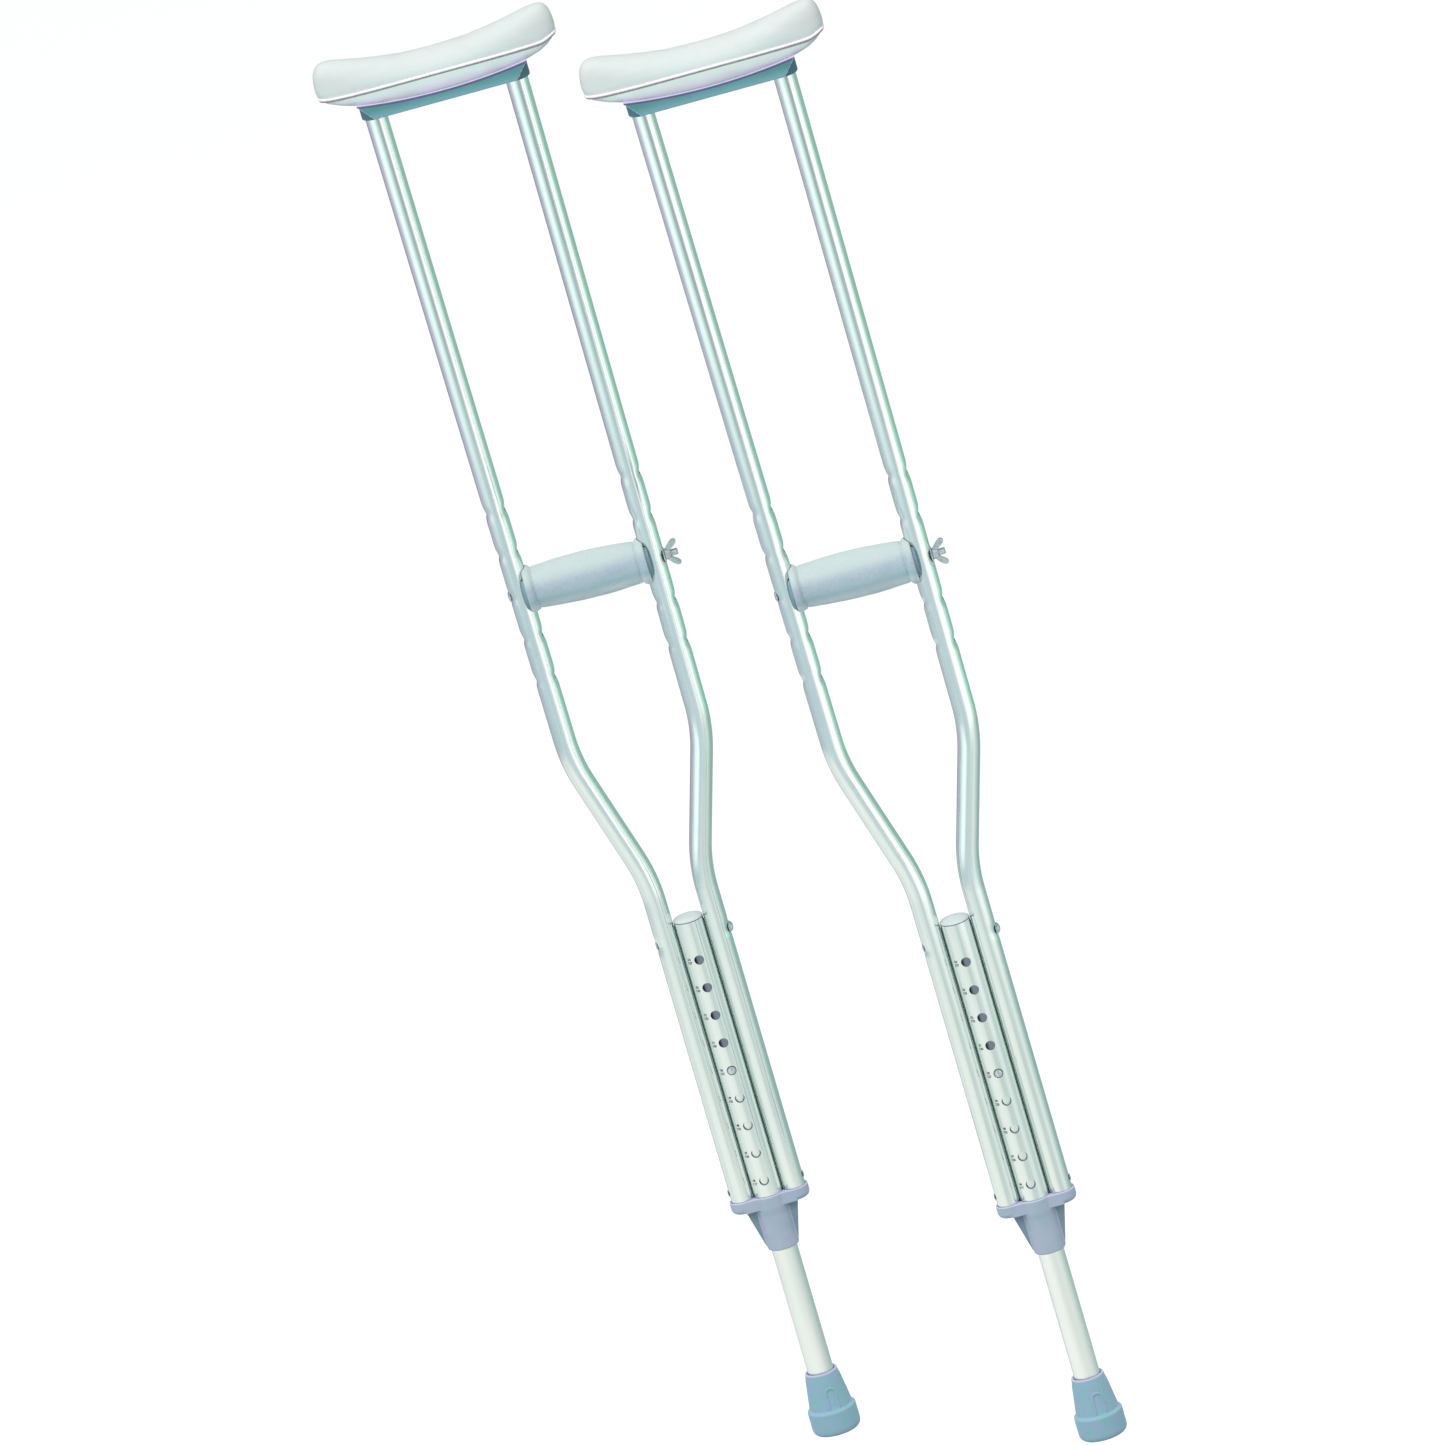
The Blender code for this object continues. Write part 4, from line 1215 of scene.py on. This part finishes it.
def seam_path(pad, count, proud):
    """Points round the pad at its seam, standing proud of it."""
    tree = BVHTree.FromObject(pad, bpy.context.evaluated_depsgraph_get())
    core_reach = PAD_HALF_LENGTH - 18
    path = []
    for k in range(count):
        c, s = superellipse(2 * math.pi * k / count, 3.0)
        x, y = PAD_HALF_LENGTH * c, PAD_HALF_DEPTH * s
        core = max(-core_reach, min(core_reach, x))
        start = Vector((core, 0, seam_height(x)))
        way = Vector((x - core, y, 0)).normalized()
        hit = tree.ray_cast(start, way)[0]
        path.append((hit or Vector((x, y, seam_height(x)))) + way * proud)
    for _ in range(3):
        path = [(path[k - 1] + path[k] * 2 + path[(k + 1) % count]) / 4 for k in range(count)]
    return path


def looped_cord(path, radius, sides=12):
    """A round cord along a closed path."""
    count = len(path)
    angles = [2 * math.pi * n / sides for n in range(sides)]
    rings = []
    for k in range(count):
        tangent = (path[(k + 1) % count] - path[k - 1]).normalized()
        side = tangent.cross(Vector((0, 0, 1))).normalized()
        up = side.cross(tangent)
        rings.append([path[k] + radius * (math.cos(a) * side + math.sin(a) * up) for a in angles])
    return lofted(rings, closed=True)


def rest():
    """The stuffed rest, pinched along its seam, with the piping round it and the seam below that: a mauve
    cord, partly thread and partly painted shadow under the piping.
    """
    pad = stuffed(pad_shape(inset=1.2), cap=6)
    pinch_depth, pinch_reach, end_start = 1.5, 3.0, 85
    for vertex in pad.data.vertices:
        x, y, z = vertex.co
        pinch = pinch_depth * math.exp(-abs(z - seam_height(x)) / pinch_reach)
        inward = Vector((-x / 5 if abs(x) > end_start else 0, -y, 0))
        if inward.length > 1:
            vertex.co += inward.normalized() * pinch
        if abs(x) < SADDLE_HALF_LENGTH + 1 and abs(y) < SADDLE_HALF_DEPTH + 1:
            vertex.co.z = max(vertex.co.z, saddle_top(x) + 1.4)
    path = seam_path(pad, count=180, proud=0.7)
    seam_drop, seam_inset = 1.7, 0.12
    sewn = []
    for point in path:
        inward = Vector((point.x / 30, point.y / 8, 0)) * seam_inset
        sewn.append(point + Vector((0, 0, -seam_drop)) - inward)
    cover = both(pad, "underarm_pad_cover", "crutch", "vinyl_cover", sharp_degrees=180, node="underarm_pad")
    both(looped_cord(path, radius=1.15), "pad_piping", "crutch", "piping", sharp_degrees=180)
    # The seam cord's mauve is partly thread and partly painted shadow under the piping.
    both(looped_cord(sewn, radius=0.7), "pad_seam", "crutch", "seam", sharp_degrees=180)


def gasket():
    """The dark layer on the saddle, painted contact shadow under the rest, and the pale welt between it and
    the rest.
    """
    dark_depth, welt_depth = SADDLE_HALF_DEPTH + 0.5, SADDLE_HALF_DEPTH + 0.9
    layers = []
    for low, high, half_depth in ((0.15, 1.4, dark_depth), (1.42, 2.4, welt_depth)):
        over = along_saddle(73, high, 73)
        layers.append(prism(over + along_saddle(73, low, 73)[::-1], half_depth))

    def on_welt(centre, normal):
        if abs(normal.y) > 0.9:
            return abs(centre.y) > (dark_depth + welt_depth) / 2
        return centre.z > saddle_top(centre.x) + 1.41

    paint(both(joined(layers), "pad_gasket", "crutch", "dark_gasket"), "welt", on_welt)


# Size numbers beside the button holes

def number_label(text, height):
    """A printed number wrapped onto the centre tube, to the left of the holes."""
    curve = bpy.data.curves.new("number", "FONT")
    curve.body = text
    curve.size = 2.9
    curve.align_x = "CENTER"
    curve.align_y = "CENTER"
    curve.extrude = 0.02
    curve.offset = 0.1
    curve.resolution_u = 3
    label = new_object("number", curve)
    mesh = evaluated_mesh(label)
    bpy.data.objects.remove(label, do_unlink=True)
    left, clear = 9.0, 0.05
    for vertex in mesh.vertices:
        across, up, out = vertex.co
        angle = (across - left) / CENTRE_RADIUS
        radius = CENTRE_RADIUS + clear + out
        vertex.co = (radius * math.sin(angle), -radius * math.cos(angle), height + up)
    return new_object("number", mesh)


def size_numbers():
    """A crutch size in inches and, below it, in centimetres, beside each button hole."""
    lowest_inches, lowest_centimetres = 46, 117
    inches_up, centimetres_down = 1.3, 1.9
    labels = []
    for row, step in enumerate(HOLE_STEPS):
        height = BUTTON_Z + HOLE_PITCH * step
        labels.append(number_label(str(lowest_inches + row), height + inches_up))
        labels.append(number_label(str(lowest_centimetres + round(2.54 * row)), height - centimetres_down))
    both(welded(joined(labels), gap=0.004), "size_numbers", "crutch", "printed_ink")


# The studio

AZIMUTH = 3.28
ELEVATION = 18.0
ROLL = 16.34
DISTANCE = 30.0
LENS = 895.3
SENSOR_WIDTH = 36
TARGET = (0.074, 0, 0.6282)


def camera():
    """A long lens at the height and turn that show the crutches leaning, aimed from crutch a."""
    az, el, roll = (math.radians(a) for a in (AZIMUTH, ELEVATION, ROLL))
    back = Vector((math.sin(az) * math.cos(el), -math.cos(az) * math.cos(el), math.sin(el)))
    right = Vector((math.cos(az), math.sin(az), 0))
    up = back.cross(right)
    across = right * math.cos(roll) - up * math.sin(roll)
    upward = right * math.sin(roll) + up * math.cos(roll)
    data = bpy.data.cameras.new("camera")
    data.lens = LENS
    data.sensor_width = SENSOR_WIDTH
    data.clip_end = 1000
    obj = new_object("camera", data)
    place = Matrix((across, upward, back)).transposed().to_4x4()
    place.translation = crutch_matrix("a_").translation + Vector(TARGET) + back * DISTANCE
    obj.matrix_world = place
    bpy.context.scene.camera = obj


# What gleaming surfaces see all round, by the angle from the front towards the right: studio strips
# with dark gaps between them, as (degrees, red, green, blue). The upper tubes see the room beyond the
# paper sheet that the crutches stand on, and what is lower sees the sheet's outer part, its inner part
# and the part round the tips.
ROOM = [
    (-180, 0.34, 0.35, 0.38), (-150, 0.22, 0.19, 0.31), (-124, 0.38, 0.36, 0.46),
    (-92, 0.46, 0.48, 0.54), (-62, 0.78, 0.88, 0.90), (-40, 0.88, 1.0, 0.97),
    (-16, 0.54, 0.70, 0.64), (2, 0.28, 0.37, 0.36), (20, 0.30, 0.34, 0.38),
    (34, 1.0, 1.0, 1.0), (58, 1.0, 1.0, 1.0), (80, 0.44, 0.66, 0.54),
    (102, 0.26, 0.44, 0.37), (145, 0.22, 0.42, 0.35), (180, 0.34, 0.35, 0.38),
]
OUTER_SHEET = [
    (-180, 0.30, 0.36, 0.38), (-140, 0.36, 0.36, 0.45), (-100, 0.38, 0.47, 0.50),
    (-20, 0.42, 0.52, 0.58), (8, 0.50, 0.60, 0.62), (28, 1.0, 1.0, 1.0), (60, 1.0, 1.0, 1.0),
    (84, 0.50, 0.72, 0.62), (120, 0.20, 0.46, 0.36), (180, 0.30, 0.36, 0.38),
]
INNER_SHEET = [
    (-180, 0.36, 0.44, 0.44), (-145, 0.48, 0.50, 0.54), (-118, 0.66, 0.70, 0.68),
    (-84, 0.65, 0.69, 0.67), (-56, 0.74, 0.77, 0.74), (-26, 0.73, 0.77, 0.73),
    (-8, 0.66, 0.72, 0.68), (6, 0.50, 0.57, 0.54), (26, 0.50, 0.57, 0.56),
    (50, 0.65, 0.71, 0.69), (78, 0.45, 0.55, 0.53), (104, 0.26, 0.39, 0.37),
    (150, 0.24, 0.38, 0.36), (180, 0.36, 0.44, 0.44),
]
LEG_SHEET = [
    (-180, 0.36, 0.44, 0.44), (-145, 0.48, 0.50, 0.54), (-118, 0.77, 0.80, 0.77),
    (-20, 0.80, 0.82, 0.78), (12, 0.74, 0.76, 0.72), (42, 0.60, 0.65, 0.62),
    (72, 0.50, 0.57, 0.55), (112, 0.38, 0.46, 0.45), (150, 0.30, 0.41, 0.39),
    (180, 0.36, 0.44, 0.44),
]
# The floor lies just below the tips' lowest reach, so that they show with the legs drawn right out.
FLOOR_Z = -(LEG_TRAVEL + 2) * MM
# A reflected ray at the camera's angle meets the lowered floor this much further out.
SHEET_SHIFT = -FLOOR_Z / math.tan(math.radians(ELEVATION))
SHEET_HALF = 3.1 + SHEET_SHIFT
SHEET_RINGS = ((INNER_SHEET, 0.52, 0.66), (OUTER_SHEET, 1.45, 1.75))
SHEET_FADE = (2.75, 3.05)
GLEAM = 1.2
SKY = (0.98, 0.99, 0.99)
BELOW = (0.38, 0.43, 0.47)


def round_about(nodes, vector, stops):
    """A colour by the angle of a vector round the vertical, from the stops' angles and colours."""
    way = nodes.split(vector)
    front = nodes.compute("MULTIPLY", way["Y"], -1)
    turn = nodes.compute("ARCTAN2", way["X"], front)
    ramp = nodes.node("ValToRGB")
    nodes.link(nodes.spread(turn, -math.pi, math.pi), ramp.inputs["Fac"])
    elements = ramp.color_ramp.elements
    ramp.color_ramp.interpolation = "EASE"
    while len(elements) < len(stops):
        elements.new(0.5)
    for element, (degrees, *_) in zip(elements, stops):
        element.position = (degrees + 180) / 360
    for element, (_, *colour) in zip(elements, stops):
        element.color = (*colour, 1)
    return ramp.outputs["Color"]


def world():
    """Plain soft light from all round, a little less from below, with the room's strips for gleams."""
    made = bpy.data.worlds.new("studio")
    bpy.context.scene.world = made
    made.use_nodes = True
    made.cycles.sampling_method = "NONE"
    nodes = Nodes(made.node_tree)
    nodes.tree.nodes.clear()
    way = nodes.node("TexCoord").outputs["Generated"]
    gleam = nodes.glowing("Background", round_about(nodes, way, ROOM), GLEAM)
    height = nodes.spread(nodes.split(way)["Z"], low=-0.3, high=0.4, ease=True)
    soft = nodes.glowing("Background", nodes.mix_colours(height, BELOW, SKY))
    plain = nodes.glowing("Background", (1, 1, 1))
    path = nodes.node("LightPath").outputs
    seen = nodes.mix_shaders(path["Is Glossy Ray"], soft, gleam)
    whole = nodes.mix_shaders(path["Is Camera Ray"], seen, plain)
    nodes.link(whole, nodes.node("OutputWorld").inputs["Surface"])


def flat_square(name, half, height):
    mesh = bpy.data.meshes.new(name)
    corners = [(-half, -half, height), (half, -half, height), (half, half, height), (-half, half, height)]
    mesh.from_pydata(corners, [], [(0, 1, 2, 3)])
    obj = new_object(name, mesh)
    return obj


def reflected_sheet():
    """The paper sheet as gleaming surfaces see it, brighter near the crutches and on one side."""
    sheet = flat_square("reflected_sheet", SHEET_HALF, FLOOR_Z + 0.001)
    for ray in ("camera", "diffuse", "transmission", "volume_scatter", "shadow"):
        setattr(sheet, "visible_" + ray, False)
    material = bpy.data.materials.new("reflected_sheet")
    material.use_nodes = True
    material.cycles.emission_sampling = "NONE"
    sheet.data.materials.append(material)
    nodes = Nodes(material.node_tree)
    nodes.tree.nodes.clear()
    place = nodes.node("NewGeometry").outputs["Position"]
    away = nodes.node("VectorMath", operation="LENGTH")
    nodes.link(place, away.inputs[0])

    def beyond(low, high):
        return nodes.spread(away.outputs["Value"], low + SHEET_SHIFT, high + SHEET_SHIFT, ease=True)

    colour = round_about(nodes, place, LEG_SHEET)
    for stops, low, high in SHEET_RINGS:
        colour = nodes.mix_colours(beyond(low, high), colour, round_about(nodes, place, stops))
    glow = nodes.glowing("Emission", colour, GLEAM)
    clear = nodes.node("BsdfTransparent").outputs[0]
    faded = nodes.mix_shaders(beyond(*SHEET_FADE), glow, clear)
    nodes.link(faded, nodes.node("OutputMaterial").inputs["Surface"])


def floor_and_light():
    """A pale floor that gleaming surfaces don't see, and one large soft light above the front."""
    floor = flat_square("floor", half=40.0, height=FLOOR_Z)
    paper = Surface("floor_paper", (253.3, 252.7, 252.7), 0.9)
    paper.set(Specular_IOR_Level=0.0)
    floor.data.materials.append(paper.material)
    floor.visible_glossy = False
    floor.visible_diffuse = False

    light = bpy.data.lights.new("key", "AREA")
    light.shape = "DISK"
    light.size = 2.6
    light.energy = 60
    lamp = new_object("key", light)
    lamp.location = (-0.9, -2.2, 3.4)
    lit = Vector((0, 0, 0.7))
    lamp.rotation_euler = (lit - lamp.location).to_track_quat("-Z", "Y").to_euler()
    lamp.visible_glossy = False


def main():
    camera()
    world()
    floor_and_light()
    reflected_sheet()
    bpy.context.scene.view_settings.view_transform = "Standard"
    side_tubes()
    centre_tube()
    crevice_shadow_strips()
    top_bolt()
    yoke()
    yoke_screws()
    leg()
    button_spring()
    rubber_tip()
    handgrip()
    grip_bolt()
    saddle()
    rest()
    gasket()
    size_numbers()


main()
